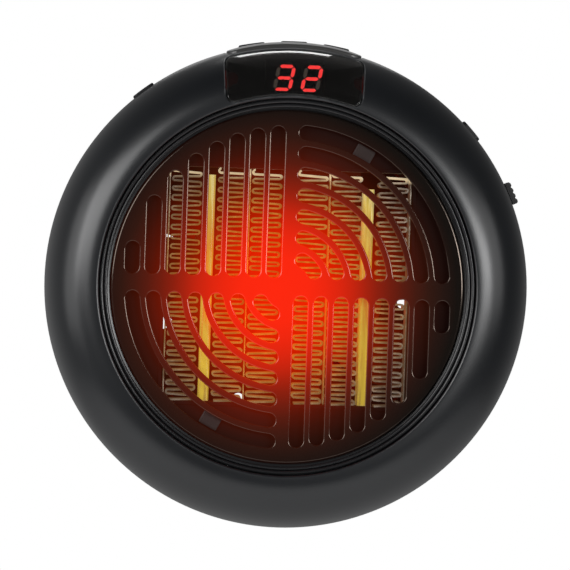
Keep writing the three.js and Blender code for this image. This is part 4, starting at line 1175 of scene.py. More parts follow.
def slot_blank(levels, side=12, cap=8):
    """A slot cutter as a pattern: each point says how far along the slot it lies, where it is
    on the round end, how high it stands and how much wider the slot is there."""
    spots = []
    for along, start in ((1.0, -90), (0.0, 90)):
        for i in range(cap + 1):
            turn = math.radians(start + 180 * i / cap)
            spots.append((along, math.cos(turn), math.sin(turn)))
        for i in range(1, side):
            here = along + (1 - 2 * along) * i / side
            spots.append((here, 0.0, 1.0 if along else -1.0))
    bm = skinned([
        [Vector((along * 9 + u, v, height)) for along, u, v in spots] for height, _ in levels])
    obj = shown("slot_blank", bm)
    rows = [(along, u, v, height, flare) for height, flare in levels for along, u, v in spots]
    for label, values in zip(("along", "end_u", "end_v", "height", "flare"), zip(*rows)):
        attribute = obj.data.attributes.new(label, "FLOAT", "POINT")
        attribute.data.foreach_set("value", values)
    return obj


def slot_copies(nodes, count):
    """Copies of the slot pattern, one on each of a row of points, numbered from zero."""
    points = nodes.made("GeometryNodePoints", {"Count": count})
    blank = nodes.made("GeometryNodeObjectInfo", {"Object": nodes.given("Blank")}, "Geometry")
    marked = nodes.made(
        "GeometryNodeStoreNamedAttribute",
        {"Geometry": nodes.copies(points, blank), "Name": "number", "Value": nodes.index()},
        data_type="FLOAT", domain="INSTANCE")
    return nodes.made("GeometryNodeRealizeInstances", {0: marked})


def placed(nodes, geometry, x, y, z):
    return nodes.made("GeometryNodeSetPosition", {
        "Geometry": geometry, "Position": nodes.point(x * MM, y * MM, z * MM)})


def slots_by(tree, blank, values=()):
    """The cutters of a slot layout as one object."""
    slots = shaped_by(piece_from("slots", bmesh.new()), tree, {"Blank": blank, **dict(values)})
    bpy.data.objects.remove(blank)
    return outwards(slots)


def vent_cutters():
    """The rear air slots as one cutter, by a tree that lays them out in groups."""
    nodes = geometry_tree(
        "air slots",
        {"Blank": "object", "Groups": 4, "Slots": 4, "Pitch Angle": 13.0, "Inner": 42.0,
         "Outer": 70.0, "Width": 4.0, "Dome Foot": DOME_FOOT, "Dome Front": DOME_FRONT,
         "Dome Across": BODY_RADIUS - DOME_FOOT, "Dome Rise": DOME_RISE},
    )
    groups, each = nodes.given("Groups"), nodes.given("Slots")
    slots = slot_copies(nodes, groups * each)
    number = nodes.named("number")
    group = (number / each).work("FLOOR")
    place = number - group * each
    angle = group * 360.0 / groups + (place - (each - 1.0) / 2.0) * nodes.given("Pitch Angle")
    half = nodes.given("Width") / 2.0
    reach = half + nodes.named("flare")
    inner, outer = nodes.given("Inner") + half, nodes.given("Outer") - half
    radius = inner + (outer - inner) * nodes.named("along") + reach * nodes.named("end_u")
    side = reach * nodes.named("end_v")
    turn = angle.work("RADIANS")
    sine, cosine = turn.work("SINE"), turn.work("COSINE")
    x = radius * cosine - side * sine
    z = radius * sine + side * cosine
    share = (radius - nodes.given("Dome Foot")) / nodes.given("Dome Across")
    surface = nodes.given("Dome Front") - nodes.given("Dome Rise") * (1.0 - share * share).root()
    tree = close_tree(nodes, placed(nodes, slots, x, -(surface + nodes.named("height")), z))
    levels = [(-3, 0.5), (-0.02, 0.42), (0.1, 0.2), (0.32, 0.05), (0.6, 0), (1.4, 0), (8, 0)]
    return slots_by(tree, slot_blank(levels))


class HEATER_OT_trim_ring(bpy.types.Operator):
    """Builds the turned trim ring with its two rounded lips"""

    bl_idname = "heater.trim_ring"
    bl_label = "Trim ring"

    def execute(self, context):
        profile = [
            (61.75, 94.3), (61.75, 95.0), (62.5, 95.2),
            *arc(63.1, 97.0, 0.62, 180, 0, 10), (63.8, 96.8),
            *arc(64.64, 97.3, 0.74, 180, 0, 10), (65.38, 94.3),
        ]
        ring = piece_from("trim", lathe(profile, context.scene.heater.ring_sides), "turned_trim")
        turned_shading(shaded(ring, 40, weighted=False), profile)
        fitted(ring, "housing", "trim_plastic", "trim_ring")
        return {"FINISHED"}


class HEATER_OT_grille(bpy.types.Operator):
    """Cuts the straight and quarter-ring slots of the front grille with a node tree"""

    bl_idname = "heater.grille"
    bl_label = "Front grille"

    def execute(self, context):
        sizes = context.scene.heater
        nodes = geometry_tree(
            "quadrant grille",
            {"Blank": "object", "Straight Slots": 8, "First Straight": 4.9,
             "Straight Pitch": 7.04, "Arc Slots": 7, "First Arc": 10.6, "Arc Pitch": 7.23,
             "Slot Width": 4.9, "Slot Limit": 56.0, "Cross Bar": 6.0, "Upright Bar": 4.9},
        )
        half = nodes.given("Slot Width") / 2.0
        reach = half + nodes.named("flare")
        along, u, v = nodes.named("along"), nodes.named("end_u"), nodes.named("end_v")
        depth = -nodes.named("height")
        number = nodes.named("number")

        straight = slot_copies(nodes, nodes.given("Straight Slots"))
        x = nodes.given("First Straight") + number * nodes.given("Straight Pitch")
        limit = nodes.given("Slot Limit")
        high = (limit * limit - x * x).root() - half
        low = nodes.given("Cross Bar") / 2.0 + half
        z = low + (high - low) * along + reach * u
        straight = placed(nodes, straight, -(x + reach * v), depth, z)

        arcs = slot_copies(nodes, nodes.given("Arc Slots"))
        middle = nodes.given("First Arc") + number * nodes.given("Arc Pitch")
        start = (low / middle).work("ARCSINE")
        end = ((nodes.given("Upright Bar") / 2.0 + half) / middle).work("ARCCOSINE")
        turn = start + (end - start) * along
        sine, cosine = turn.work("SINE"), turn.work("COSINE")
        radius = middle + reach * v
        x = radius * cosine - reach * u * sine
        z = radius * sine + reach * u * cosine
        arcs = placed(nodes, arcs, x, depth, z)

        half_turn = Euler((0, math.pi, 0))
        cutters = nodes.together(straight, arcs)
        opposite = nodes.made(
            "GeometryNodeTransform", {"Geometry": cutters, "Rotation": half_turn})
        tree = close_tree(nodes, nodes.together(cutters, opposite))
        back, front, edge = GRILLE_BACK, GRILLE_FRONT, 0.42
        curve = [(front - edge + edge * math.sin(math.radians(t)),
                  edge - edge * math.cos(math.radians(t))) for t in (0, 22, 45, 67, 90)]
        levels = [(back - 1, 0.0), *curve, (front + 1, edge + 0.01)]
        slots = slots_by(tree, slot_blank(levels, side=24, cap=12), {
            "Straight Slots": sizes.straight_slots, "Arc Slots": sizes.arc_slots})
        profile = [
            (0, back), (GRILLE_RADIUS, back),
            *arc(GRILLE_RADIUS - 0.9, front - 0.9, 0.9, 0, 90, 6), (0, front),
        ]
        grille = piece_from("grille", lathe(profile, sizes.ring_sides), "smoked_plastic")
        shaded(carved(grille, [slots]), 30)
        fitted(grille, "housing", "grille_plastic", "front_grille")
        return {"FINISHED"}


SEGMENTS = {
    "a": ((-1, 2), (1, 2)), "b": ((1, 2), (1, 0)), "c": ((1, 0), (1, -2)),
    "d": ((-1, -2), (1, -2)), "e": ((-1, 0), (-1, -2)), "f": ((-1, 2), (-1, 0)),
    "g": ((-1, 0), (1, 0)),
}
LIT = {"3": "abcdg", "2": "abged"}
DIGIT_PLACES = (("3", -3.5), ("2", 6.05))
DIGIT_REACH = (2.62, 2.15)
DIGIT_DROP = 0.5
DIGIT_LEAN = 10
SEGMENT_WIDTH = 1.2
SEGMENT_GAP = 0.3
SEGMENT_RISE = 0.06


class HEATER_OT_display(bpy.types.Operator):
    """Builds the smoked window and the two-digit module behind it"""

    bl_idname = "heater.display"
    bl_label = "Display"

    def execute(self, context):
        window = moulding("window", "window_glass", window_outline(),
                          rounded_levels(-WINDOW_THICKNESS, 0, 0.5, 5), on_window(WINDOW_FOOT),
                          22, 30)
        fitted(window, "housing", "window_plastic", "display_window")

        parts = [shaded(softened(led_box("body", 0, 0, "led_body"), 0.3, 3), 30)]
        for digit, middle in DIGIT_PLACES:
            for name, ends in SEGMENTS.items():
                finish = "led_lit" if name in LIT[digit] else "led_unlit"
                parts.append(piece_from("segment", segment(*ends, middle), finish))
        fitted(joined("led_module", parts), "housing", "led_face", "led_display")
        return {"FINISHED"}


def segment(start, end, middle):
    """One mitred bar of a digit that leans forward, raised a little from the module's face."""
    width, height = DIGIT_REACH
    ax, az, bx, bz = start[0] * width, start[1] * height, end[0] * width, end[1] * height
    length = math.hypot(bx - ax, bz - az)
    ux, uz = (bx - ax) / length, (bz - az) / length
    near, far = SEGMENT_GAP + SEGMENT_WIDTH / 2, length - SEGMENT_GAP - SEGMENT_WIDTH / 2
    outline = []
    for along, side in (
        (SEGMENT_GAP, 0), (near, 0.5), (far, 0.5),
        (length - SEGMENT_GAP, 0), (far, -0.5), (near, -0.5),
    ):
        x = ax + ux * along - uz * side * SEGMENT_WIDTH
        z = az + uz * along + ux * side * SEGMENT_WIDTH
        outline.append((middle + x + z * math.tan(math.radians(DIGIT_LEAN)), z - DIGIT_DROP))
    matrix = module_matrix()
    return skinned([[matrix @ (Vector((x, -out, z)) * MM) for x, z in outline]
                    for out in (-0.2, SEGMENT_RISE)])


class HEATER_OT_controls(bpy.types.Operator):
    """Builds the control strip, its three buttons, the rim pads and the ribbed slide knob"""

    bl_idname = "heater.controls"
    bl_label = "Controls on the rim"

    def execute(self, context):
        outline = rounded_outline(*STRIP_SIZE, STRIP_CORNER, steps=8, side=20)
        strip = piece_from(
            "strip",
            lidded(outline, rounded_levels(-STRIP_SINK, STRIP_RISE, 0.5),
                   tapered(on_rim(90, STRIP_DEPTH), STRIP_SIZE[0] / 2, 0.55), 14),
            "strip_plastic",
        )
        carved(strip, button_cutters())
        fitted(shaded(strip), "housing", "strip_plastic", "control_strip")
        for side, angle in BUTTON_ANGLES.items():
            cap = moulding(
                "cap", "button_plastic", rounded_outline(*BUTTON_SIZE, BUTTON_CORNER),
                rounded_levels(BUTTON_FLOOR + 1, BUTTON_TOP - BUTTON_CROWN, 0.4),
                on_flat(angle, BUTTON_DEPTH, BUTTON_CROWN, 4.5))
            flange = moulding(
                "flange", "button_plastic", rounded_outline(11.2, 9, BUTTON_CORNER),
                [(0, BUTTON_FLOOR + 0.5), (0, BUTTON_FLOOR + 1.5)],
                on_flat(angle, BUTTON_DEPTH), 3)
            button = joined(f"push_{side}", [cap, flange])
            fitted(button, f"button_{side}", "button_plastic", f"button_{side}")
        for side, angle in PAD_ANGLES.items():
            pad = moulding(f"pad_{side}", "pad_plastic", rounded_outline(*PAD_SIZE, PAD_CORNER),
                           rounded_levels(-1.2, 0.85, 0.4), on_rim(angle, PAD_DEPTH))
            fitted(pad, "housing", "pad_plastic", f"rim_pad_{side}")
        self.knob()
        return {"FINISHED"}

    def knob(self):
        """The sliding cap, with saw-tooth ribs across its travel."""
        half, low, pitch = KNOB_WIDTH / 2, KNOB_TOP - KNOB_RIB, KNOB_WIDTH / 4
        outline = [(-half, KNOB_BASE), (half, KNOB_BASE)]
        for i in range(4):
            right = half - i * pitch
            outline += [(right, low), (right - pitch * 0.25, KNOB_TOP),
                        (right - pitch * 0.65, KNOB_TOP)]
        outline.append((-half, low))
        rings = [[turned((x, -depth, z), SWITCH_ANGLE) * MM for x, z in outline]
                 for depth in (SWITCH_DEPTH - KNOB_LENGTH / 2, SWITCH_DEPTH + KNOB_LENGTH / 2)]
        cap = softened(piece_from("cap", skinned(rings), "knob_plastic"), 0.16, 2, 20)
        stem = moulding("stem", "knob_plastic", rounded_outline(3.6, 3.0, 0.4),
                        [(0, 79.8), (0, 85.6)], on_flat(SWITCH_ANGLE, SWITCH_DEPTH), 3, 30)
        knob = joined("slide_knob", [shaded(cap, 30), stem])
        fitted(knob, "speed_switch", "knob_plastic", "switch_knob")


class HEATER_OT_element(bpy.types.Operator):
    """Builds the corrugated fins with a node tree, and the bars, plates and frame round them"""

    bl_idname = "heater.element"
    bl_label = "Heating element"

    def execute(self, context):
        sizes = context.scene.heater
        pitch = ELEMENT_HEIGHT / sizes.fin_folds
        thickness = sizes.fin_thickness / MM
        start = BAR_WIDTH / 2 + CLEARANCE
        end = BAR_PITCH / 2 - FIN_PLATE / 2 - CLEARANCE
        tree = fin_tree()
        columns = []
        for number in range(6):
            side = 1 if number % 2 else -1
            fold = fold_line(pitch, (end - start) / 2 - thickness / 2)
            column = shaped_by(fold, tree, {
                "Folds": sizes.fin_folds,
                "Pitch": pitch,
                "Height": ELEMENT_HEIGHT,
                "Middle": (number // 2 - 1) * BAR_PITCH + side * (start + end) / 2,
                "Back": ELEMENT_BACK,
                "Front": ELEMENT_FRONT,
                "Thickness": thickness,
                "Seed": float(sizes.seed + number),
                "Finish": FINISHES["fin_aluminium"],
            })
            columns.append(shaded(outwards(column), 50, weighted=False))
        fins = joined("corrugated_fins", columns)
        fitted(fins, "housing", "fin_aluminium", *numbered("fin_column", 6))
        deep, high = ELEMENT_FRONT - ELEMENT_BACK, ELEMENT_HEIGHT / 2
        plates = joined("side_plates", [
            moulding("plate", "fin_aluminium", rounded_outline(width, deep, 0.12, 3, 4),
                     [(0, -high), (0, high)], upright((number - 1.5) * BAR_PITCH), 3)
            for number, width in enumerate(PLATE_SHOWN)
        ])
        fitted(plates, "housing", "fin_aluminium", *numbered("fin_plate", 4))
        bars = []
        for number, (joint, drop, aside) in enumerate(zip(BAR_JOINTS, FILM_DROP, FILM_ASIDE)):
            middle, top = (number - 1) * BAR_PITCH, high - drop
            levels = [
                (0.12, -high), (0, -high + 0.12), (0, joint - 0.25), (0.1, joint - 0.1),
                (0.1, joint + 0.1), (0, joint + 0.25), (0, top - 0.12), (0.12, top),
            ]
            bars.append(moulding("bar", "amber_film", film_outline(), levels,
                                 upright(middle + aside), 3, 40))
            bars.append(moulding("tab", "contact_brass", rounded_outline(0.8, 4, 0.1, 2, 3),
                                 [(0, -39.96), (0, -36.0)], upright(middle, 78.5), 2, 40))
        bars = joined("heater_bars", bars)
        fitted(bars, "housing", "amber_film", *numbered("ptc_bar", 3))
        rim = softened(copied("ptc_frame", "frame_rim", "frame_plastic"), 0.25, 2, 40)
        clips = [
            moulding("clip", "clip_plastic", rounded_outline(*CLIP_SIZE, 0.5),
                     [(0, -0.3), (0, 0.0), (0.1, 0.06)],
                     facing(angle, CLIP_RADIUS, CLIP_DEPTH), 4)
            for angle in CLIP_ANGLES
        ]
        rims = joined("element_frame", [shaded(rim), *clips])
        fitted(rims, "housing", "frame_plastic", "ptc_frame")
        return {"FINISHED"}


def numbered(name, count):
    """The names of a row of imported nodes."""
    return [f"{name}_{number}" for number in range(1, count + 1)]


def upright(middle, depth=(ELEMENT_BACK + ELEMENT_FRONT) / 2):
    """Puts points on a level section across the element, at a height."""

    def place(point, height):
        return Vector((middle + point[0], point[1] - depth, height)) * MM

    return place


def facing(angle, radius, depth):
    """Puts points on a flat that faces the front, out from the axis at an angle."""

    def place(point, height):
        return turned((point[0], -(depth + height), radius + point[1]), angle) * MM

    return place


def film_outline():
    """Section of a wrapped bar: a rounded box with the film's lap standing off one side."""
    plain = rounded_outline(FILM_WIDTH, ELEMENT_FRONT - ELEMENT_BACK, 0.9, 4, 12)

    def outline(inset=0.0):
        points = []
        for x, y in plain(inset):
            lap = LAP_RISE if y < -LAP_START and x > 0.9 else 0.0
            points.append((x, y - lap if abs(x) < FILM_WIDTH / 2 - 0.5 else y))
        return points

    return outline


def fold_line(pitch, reach):
    """One fold of a fin as a line: out, round a bend, back and round the other bend."""
    bend = pitch * 0.4
    rise = (pitch - 2 * bend) / 2
    radius = bend / 2
    edge = reach - radius
    points = [
        (-edge, 0.0), (edge, rise), *arc(edge, rise + radius, radius, -90, 90, 8)[1:],
        (-edge, 2 * rise + bend),
        *arc(-edge, 2 * rise + bend + radius, radius, 270, 90, 8)[1:],
    ]
    bm = bmesh.new()
    verts = [bm.verts.new(Vector((x, 0, z)) * MM) for x, z in points]
    for pair in zip(verts, verts[1:]):
        bm.edges.new(pair)
    return shown("fold", bm)


def fin_tree():
    """Stacks one fold into a column, bends it out of true a little and gives it its thickness."""
    nodes = geometry_tree(
        "corrugated fin",
        {"Folds": 24, "Pitch": ELEMENT_HEIGHT / 24, "Height": ELEMENT_HEIGHT, "Middle": 0.0,
         "Back": ELEMENT_BACK, "Front": ELEMENT_FRONT, "Thickness": 0.6, "Unevenness": 0.85,
         "Seed": 1.0},
    )
    back, front = nodes.given("Back"), nodes.given("Front")
    stack = nodes.made("GeometryNodeMeshLine", {
        "Count": nodes.given("Folds"), "Offset": nodes.point(0.0, 0.0, nodes.given("Pitch") * MM)})
    real = nodes.made(
        "GeometryNodeRealizeInstances", {0: nodes.copies(stack, nodes.given("Geometry"))})
    merged = nodes.made(
        "GeometryNodeMergeByDistance", {"Geometry": real, "Distance": 0.02 * MM})
    noise = nodes.made(
        "ShaderNodeTexNoise",
        {"Vector": nodes.made("GeometryNodeInputPosition"), "W": nodes.given("Seed"),
         "Scale": 230.0, "Detail": 1.0}, "Fac", noise_dimensions="4D")
    shift = (noise - 0.5) * nodes.given("Unevenness") * MM * 2.0
    offset = nodes.point(nodes.given("Middle") * MM, -((back + front) / 2.0) * MM,
                         shift - nodes.given("Height") * (MM / 2.0))
    move = nodes.made("GeometryNodeSetPosition", {"Geometry": merged, "Offset": offset})
    line = nodes.made("GeometryNodeMeshToCurve", {"Mesh": move})
    flat = nodes.made(
        "GeometryNodeSetCurveNormal", {"Curve": line, "Normal": (0, 1, 0)}, mode="FREE")
    section = nodes.made("GeometryNodeCurvePrimitiveQuadrilateral", {
        "Width": (front - back) * MM, "Height": nodes.given("Thickness") * MM})
    return close_tree(nodes, nodes.made("GeometryNodeCurveToMesh", {
        "Curve": flat, "Profile Curve": section, "Fill Caps": True}))


class HEATER_OT_fan(bpy.types.Operator):
    """Builds the impeller: a turned hub and blades set round it by a node tree"""

    bl_idname = "heater.fan"
    bl_label = "Fan"

    def execute(self, context):
        profile = [
            (1.8, 62.6), (4.5, 62.6), (4.5, 72.1), (15, 72.1), (15, 62.6), (17, 62.6),
            *arc(15.6, 72.7, 1.4, 0, 90, 5), (8, 74.1), (7.2, 73.6), (5.4, 73.6), (4.6, 74.1),
            (1.8, 74.1),
        ]
        hub = shaded(piece_from("hub", lathe(profile, 96), "fan_plastic"), 40)
        nodes = geometry_tree("blade ring", {"Blades": 7})
        ring = nodes.made("GeometryNodePoints", {"Count": nodes.given("Blades")})
        turn = nodes.index() * (2 * math.pi) / nodes.given("Blades")
        tree = close_tree(nodes, nodes.copies(
            ring, nodes.given("Geometry"), Rotation=nodes.point(0.0, -turn - BLADE_START, 0.0)))
        blade = piece_from("blade", skinned(blade_rings()), "fan_plastic")
        blades = shaped_by(blade, tree, {
            "Blades": context.scene.heater.blades, "Finish": FINISHES["fan_plastic"]})
        fan = joined("fan_wheel", [hub, shaded(blades, 40, weighted=False)])
        fitted(fan, "fan", "fan_plastic", "impeller")
        return {"FINISHED"}


def blade_rings():
    """Sections of one swept, cambered blade from the hub to the tip."""
    stations, chord_steps = 10, 10
    rings = []
    for i in range(stations + 1):
        share = i / stations
        radius = BLADE_ROOT + BLADE_SPAN * share
        chord = 15 + 16 * share
        pitch = math.radians(34 - 13 * share)
        lead = math.radians(14 * share**2)
        upper, lower = [], []
        for j in range(chord_steps + 1):
            along = j / chord_steps - 0.5
            swell = 0.6 * math.sqrt(max(1 - (2 * along) ** 2, 0)) * (1.1 - share * 0.3)
            camber = (0.25 - along * along) * chord * 0.14
            for line, side in ((upper, 1), (lower, -1)):
                across = camber + side * swell
                tangent = along * chord * math.cos(pitch) - across * math.sin(pitch)
                axial = along * chord * math.sin(pitch) + across * math.cos(pitch)
                turn = math.degrees(lead + tangent / radius)
                line.append(at(radius, turn, BLADE_DEPTH - axial))
        rings.append(upper + lower[-2:0:-1])
    return rings


class HEATER_OT_screws(bpy.types.Operator):
    """Builds one cross-head screw and sets four of them in the rear recesses by a node tree"""

    bl_idname = "heater.screws"
    bl_label = "Case screws"

    def execute(self, context):
        seat = SCREW_SEAT - CLEARANCE
        head = arc(0, seat - 1.2, SCREW_HEAD, 270, 360, 8, 1.3)
        profile = [
            (0, seat - 2.5), *head[1:], (SCREW_HEAD, seat), (1.5, seat), (1.5, 73), (0.3, 76),
            (0, 76),
        ]
        screw = piece_from("screw", lathe(profile, 32), "screw_steel")
        cross = []
        for turn in (0, 90):
            bm = lidded(rounded_outline(3.6, 0.8, 0.2, 2, 2), [(0, -1.6), (0.0, 2)],
                        lambda p, h: Vector((p[0], h + 2.5 - seat, p[1])) * MM, 2)
            bmesh.ops.rotate(bm, verts=bm.verts, cent=(0, 0, 0),
                             matrix=Matrix.Rotation(math.radians(turn + 20), 3, "Y"))
            cross.append(piece_from("cross", bm))
        carved(screw, cross)
        nodes = geometry_tree("screw circle", {"Screws": 4, "Radius": SCREW_CIRCLE, "First": 45.0})
        points = nodes.made("GeometryNodePoints", {"Count": nodes.given("Screws")})
        turn = nodes.index() * 360.0 / nodes.given("Screws") + nodes.given("First")
        turn, radius = turn.work("RADIANS"), nodes.given("Radius")
        x, z = radius * turn.work("COSINE"), radius * turn.work("SINE")
        spots = placed(nodes, points, x, 0.0, z)
        tree = close_tree(nodes, nodes.copies(
            spots, nodes.given("Geometry"), Rotation=nodes.point(0.0, turn * 1.7, 0.0)))
        screws = shaped_by(screw, tree, {"Finish": FINISHES["screw_steel"]})
        screws.name = "case_screws"
        fitted(shaded(screws, 35), "housing", "screw_steel", *numbered("case_screw", 4))
        return {"FINISHED"}


class HEATER_OT_plug(bpy.types.Operator):
    """Builds the turning plug with its notches, and its two round pins"""

    bl_idname = "heater.plug"
    bl_label = "Plug"

    def execute(self, context):
        profile = [
            (0, 0), *arc(PLUG_RADIUS - 1.2, 1.2, 1.2, 270, 360, 6), (PLUG_RADIUS, 21.8),
            *arc(PLUG_FLANGE - 0.4, 22.2, 0.4, 270, 360, 3), (PLUG_FLANGE, PLUG_END),
            (0, PLUG_END),
        ]
        body = piece_from("plug", lathe(profile, 128), "plug_plastic")
        cuts = [piece_from("bore", moved(rod(PIN_RADIUS + CLEARANCE, -1, PLUG_END + 1), side))
                for side in (-PIN_SIDE, PIN_SIDE)]
        for width, deep, angle in ((8, 2, 90), (8, 2, 270), (4.6, 2.4, 0), (4.6, 2.4, 180)):
            place = facing(angle, PLUG_RADIUS, 0)
            outline = rounded_outline(width, 2 * deep, 0.5, 3, 3)
            notch = lidded(outline, [(0, -1), (0, 16)], place, 3)
            cuts.append(piece_from("notch", notch))
        turned_shading(shaded(carved(body, cuts)), profile)
        fitted(body, "plug", "plug_plastic", "plug_body")
        tip = arc(PIN_RADIUS - 1.3, 1.3 - PIN_LENGTH, 1.3, 270, 360, 6)
        profile = [(0, -PIN_LENGTH), *tip, (PIN_RADIUS, PLUG_END), (0, PLUG_END)]
        for side, x in (("left", -PIN_SIDE), ("right", PIN_SIDE)):
            pin = shaded(piece_from(f"pin_{side}", moved(lathe(profile, 40), x), "pin_metal"), 30)
            fitted(pin, "plug", "pin_metal", f"plug_pin_{side}")
        return {"FINISHED"}


class HEATER_OT_inner_parts(bpy.types.Operator):
    """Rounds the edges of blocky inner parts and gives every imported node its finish"""

    bl_idname = "heater.inner_parts"
    bl_label = "Inner parts"

    def execute(self, context):
        for node, width, finish in (
            ("thermostat", 0.5, "thermostat_ceramic"), ("relay", 0.6, "relay_plastic"),
            ("switch_body", 0.4, "inner_plastic"), ("main_board", 0.25, "circuit_board"),
        ):
            part = softened(copied(node, f"{node}_rounded", finish), width, 3, 40)
            fitted(shaded(part), "housing", finish, node)
        names = {"trim_plastic": "turned_trim", "grille_plastic": "smoked_plastic",
                 "window_plastic": "window_glass", "led_face": "led_body"}
        for part in frame["record"]["subparts"]:
            obj = frame["nodes"][part["node"]]
            slot = part["material_slot"]
            material = FINISHES[names.get(slot, slot)]
            for place in obj.material_slots:
                place.material = material
            if not obj.material_slots:
                obj.data.materials.append(material)
        return {"FINISHED"}


# Studio


class HEATER_OT_stage(bpy.types.Operator):
    """Builds the pale floor, the soft lights, the white surroundings and the camera"""

    bl_idname = "heater.stage"
    bl_label = "Studio"

    def execute(self, context):
        scene = context.scene
        studio = scene.heater_studio
        bm = bmesh.new()
        bmesh.ops.create_circle(bm, cap_ends=True, segments=96, radius=studio.floor_reach)
        bmesh.ops.translate(bm, verts=bm.verts, vec=(0, 0, studio.floor_height))
        floor = piece_from("floor", bm)
        finish = Finish("pale_floor", Roughness=0.6)
        finish.into("Base Color", finish.mixed(
            finish.noise(finish.place, 3.0), (0.84, 0.84, 0.84, 1), (0.88, 0.88, 0.88, 1)))
        floor.data.materials.append(finish.material)
        self.world(scene, studio)
        for name, off_axis, around, distance, width, height, power in (
            ("left softbox", 44, 159, 1.3, 0.90, 0.60, studio.left_power),
            ("left spill", 70, 174, 1.3, 0.80, 0.90, studio.left_power * 0.42),
            ("right softbox", 29, 9, 1.3, 0.56, 0.22, studio.right_power),
            ("right spill", 56, 11, 1.3, 0.80, 0.60, studio.right_power * 0.45),
            ("top strip", 128, 91, 0.8, 0.26, 0.12, studio.top_power),
            ("top spill", 155, 91, 0.9, 0.40, 0.20, studio.top_power * 0.3),
        ):
            self.lamp(name, off_axis, around, distance, width, height, power)
        self.camera(scene, studio)
        scene.view_settings.view_transform = "Standard"
        return {"FINISHED"}

    def lamp(self, name, off_axis, around, distance, width, height, power):
        """An area lamp placed by its angle off the heater's axis and its angle around it."""
        light = bpy.data.lights.new(name, "AREA")
        light.shape = "RECTANGLE"
        light.size, light.size_y = width, height
        light.energy = power
        obj = bpy.data.objects.new(name, light)
        tilt, turn = math.radians(off_axis), math.radians(around)
        away = Vector((math.sin(tilt) * math.cos(turn), -math.cos(tilt),
                       math.sin(tilt) * math.sin(turn)))
        obj.location = Vector((0, -LIT_DEPTH * MM, 0)) + away * distance
        obj.rotation_euler = (-away).to_track_quat("-Z", "Y").to_euler()
        obj.visible_camera = False
        bpy.context.scene.collection.objects.link(obj)

    def world(self, scene, studio):
        """White where it is seen directly. Gloss picks it up brighter from behind and below."""
        world = bpy.data.worlds.new("white studio")
        world.use_nodes = True
        world.cycles.sampling_method = "NONE"
        nodes = NodeWork(world.node_tree)
        background = nodes.tree.nodes["Background"].inputs
        place = nodes.made("ShaderNodeTexCoord", output="Generated")
        x, y, z = (nodes.axis(place, number) for number in range(3))
        behind = nodes.made("ShaderNodeMapRange", {
            "Value": y, "From Min": -0.25, "From Max": 0.75,
            "To Min": studio.front_glow, "To Max": studio.back_glow})
        seen, through, gloss = (nodes.made("ShaderNodeLightPath", output=f"Is {kind} Ray")
                                for kind in ("Camera", "Transmission", "Glossy"))
        shade = (1.0 - (x * 0.5 + z * 0.87)).work("MAXIMUM", 0.4)
        white = seen.work("MAXIMUM", through)
        rest = gloss * behind * shade + (1.0 - gloss) * studio.fill
        feed(nodes.tree, background["Strength"], white + (1.0 - white) * rest)
        background["Color"].default_value = (1, 1, 1, 1)
        scene.world = world

    def camera(self, scene, studio):
        data = bpy.data.cameras.new("camera")
        data.sensor_width = 36
        data.lens = studio.lens
        data.clip_start = 0.05
        camera = bpy.data.objects.new("camera", data)
        scene.collection.objects.link(camera)
        yaw, pitch = studio.yaw, studio.pitch
        away = Vector((-math.sin(yaw) * math.cos(pitch), -math.cos(yaw) * math.cos(pitch),
                       math.sin(pitch)))
        target = Vector((0, -SHOULDER * MM, 0))
        camera.location = target + away * studio.distance
        look = (-away).to_track_quat("-Z", "Y")
        roll = Matrix.Rotation(studio.roll, 4, "Z")
        camera.matrix_world = (
            Matrix.Translation(camera.location) @ look.to_matrix().to_4x4() @ roll)
        data.shift_x, data.shift_y = studio.shift_x, studio.shift_y
        scene.camera = camera


# Settings, panel and registration


class HEATER_PG_sizes(bpy.types.PropertyGroup):
    """Sizes and counts that a user would change"""

    ring_sides: IntProperty(
        name="Ring sides", description="Facets round the large turned pieces",
        default=192, min=24, max=512)
    straight_slots: IntProperty(
        name="Straight slots", description="Straight slots in each straight quadrant",
        default=8, min=1, max=8)
    arc_slots: IntProperty(
        name="Arc slots", description="Quarter-ring slots in each curved quadrant",
        default=7, min=1, max=7)
    fin_folds: IntProperty(
        name="Fin folds", description="Folds in each corrugated fin", default=24, min=4, max=40)
    fin_thickness: FloatProperty(
        name="Fin thickness", description="Thickness of the fin strip", default=0.0006,
        min=0.0001, max=0.001, precision=5, unit="LENGTH")
    blades: IntProperty(name="Blades", description="Blades of the fan", default=7, min=3, max=13)
    seed: IntProperty(name="Seed", description="Seed for the fins' unevenness", default=3)


class HEATER_PG_colours(bpy.types.PropertyGroup):
    """Colours that a user would change"""

    case: FloatVectorProperty(
        name="Case", description="Colour of the case plastic", subtype="COLOR", size=3,
        default=(0.0085, 0.0096, 0.0115), min=0, max=1)
    grille: FloatVectorProperty(
        name="Grille", description="Colour of the smoked grille", subtype="COLOR", size=3,
        default=(0.0050, 0.0034, 0.0027), min=0, max=1)
    digits: FloatVectorProperty(
        name="Digits", description="Light of the display's digits", subtype="COLOR", size=3,
        default=(1.0, 0.045, 0.045), min=0, max=1)


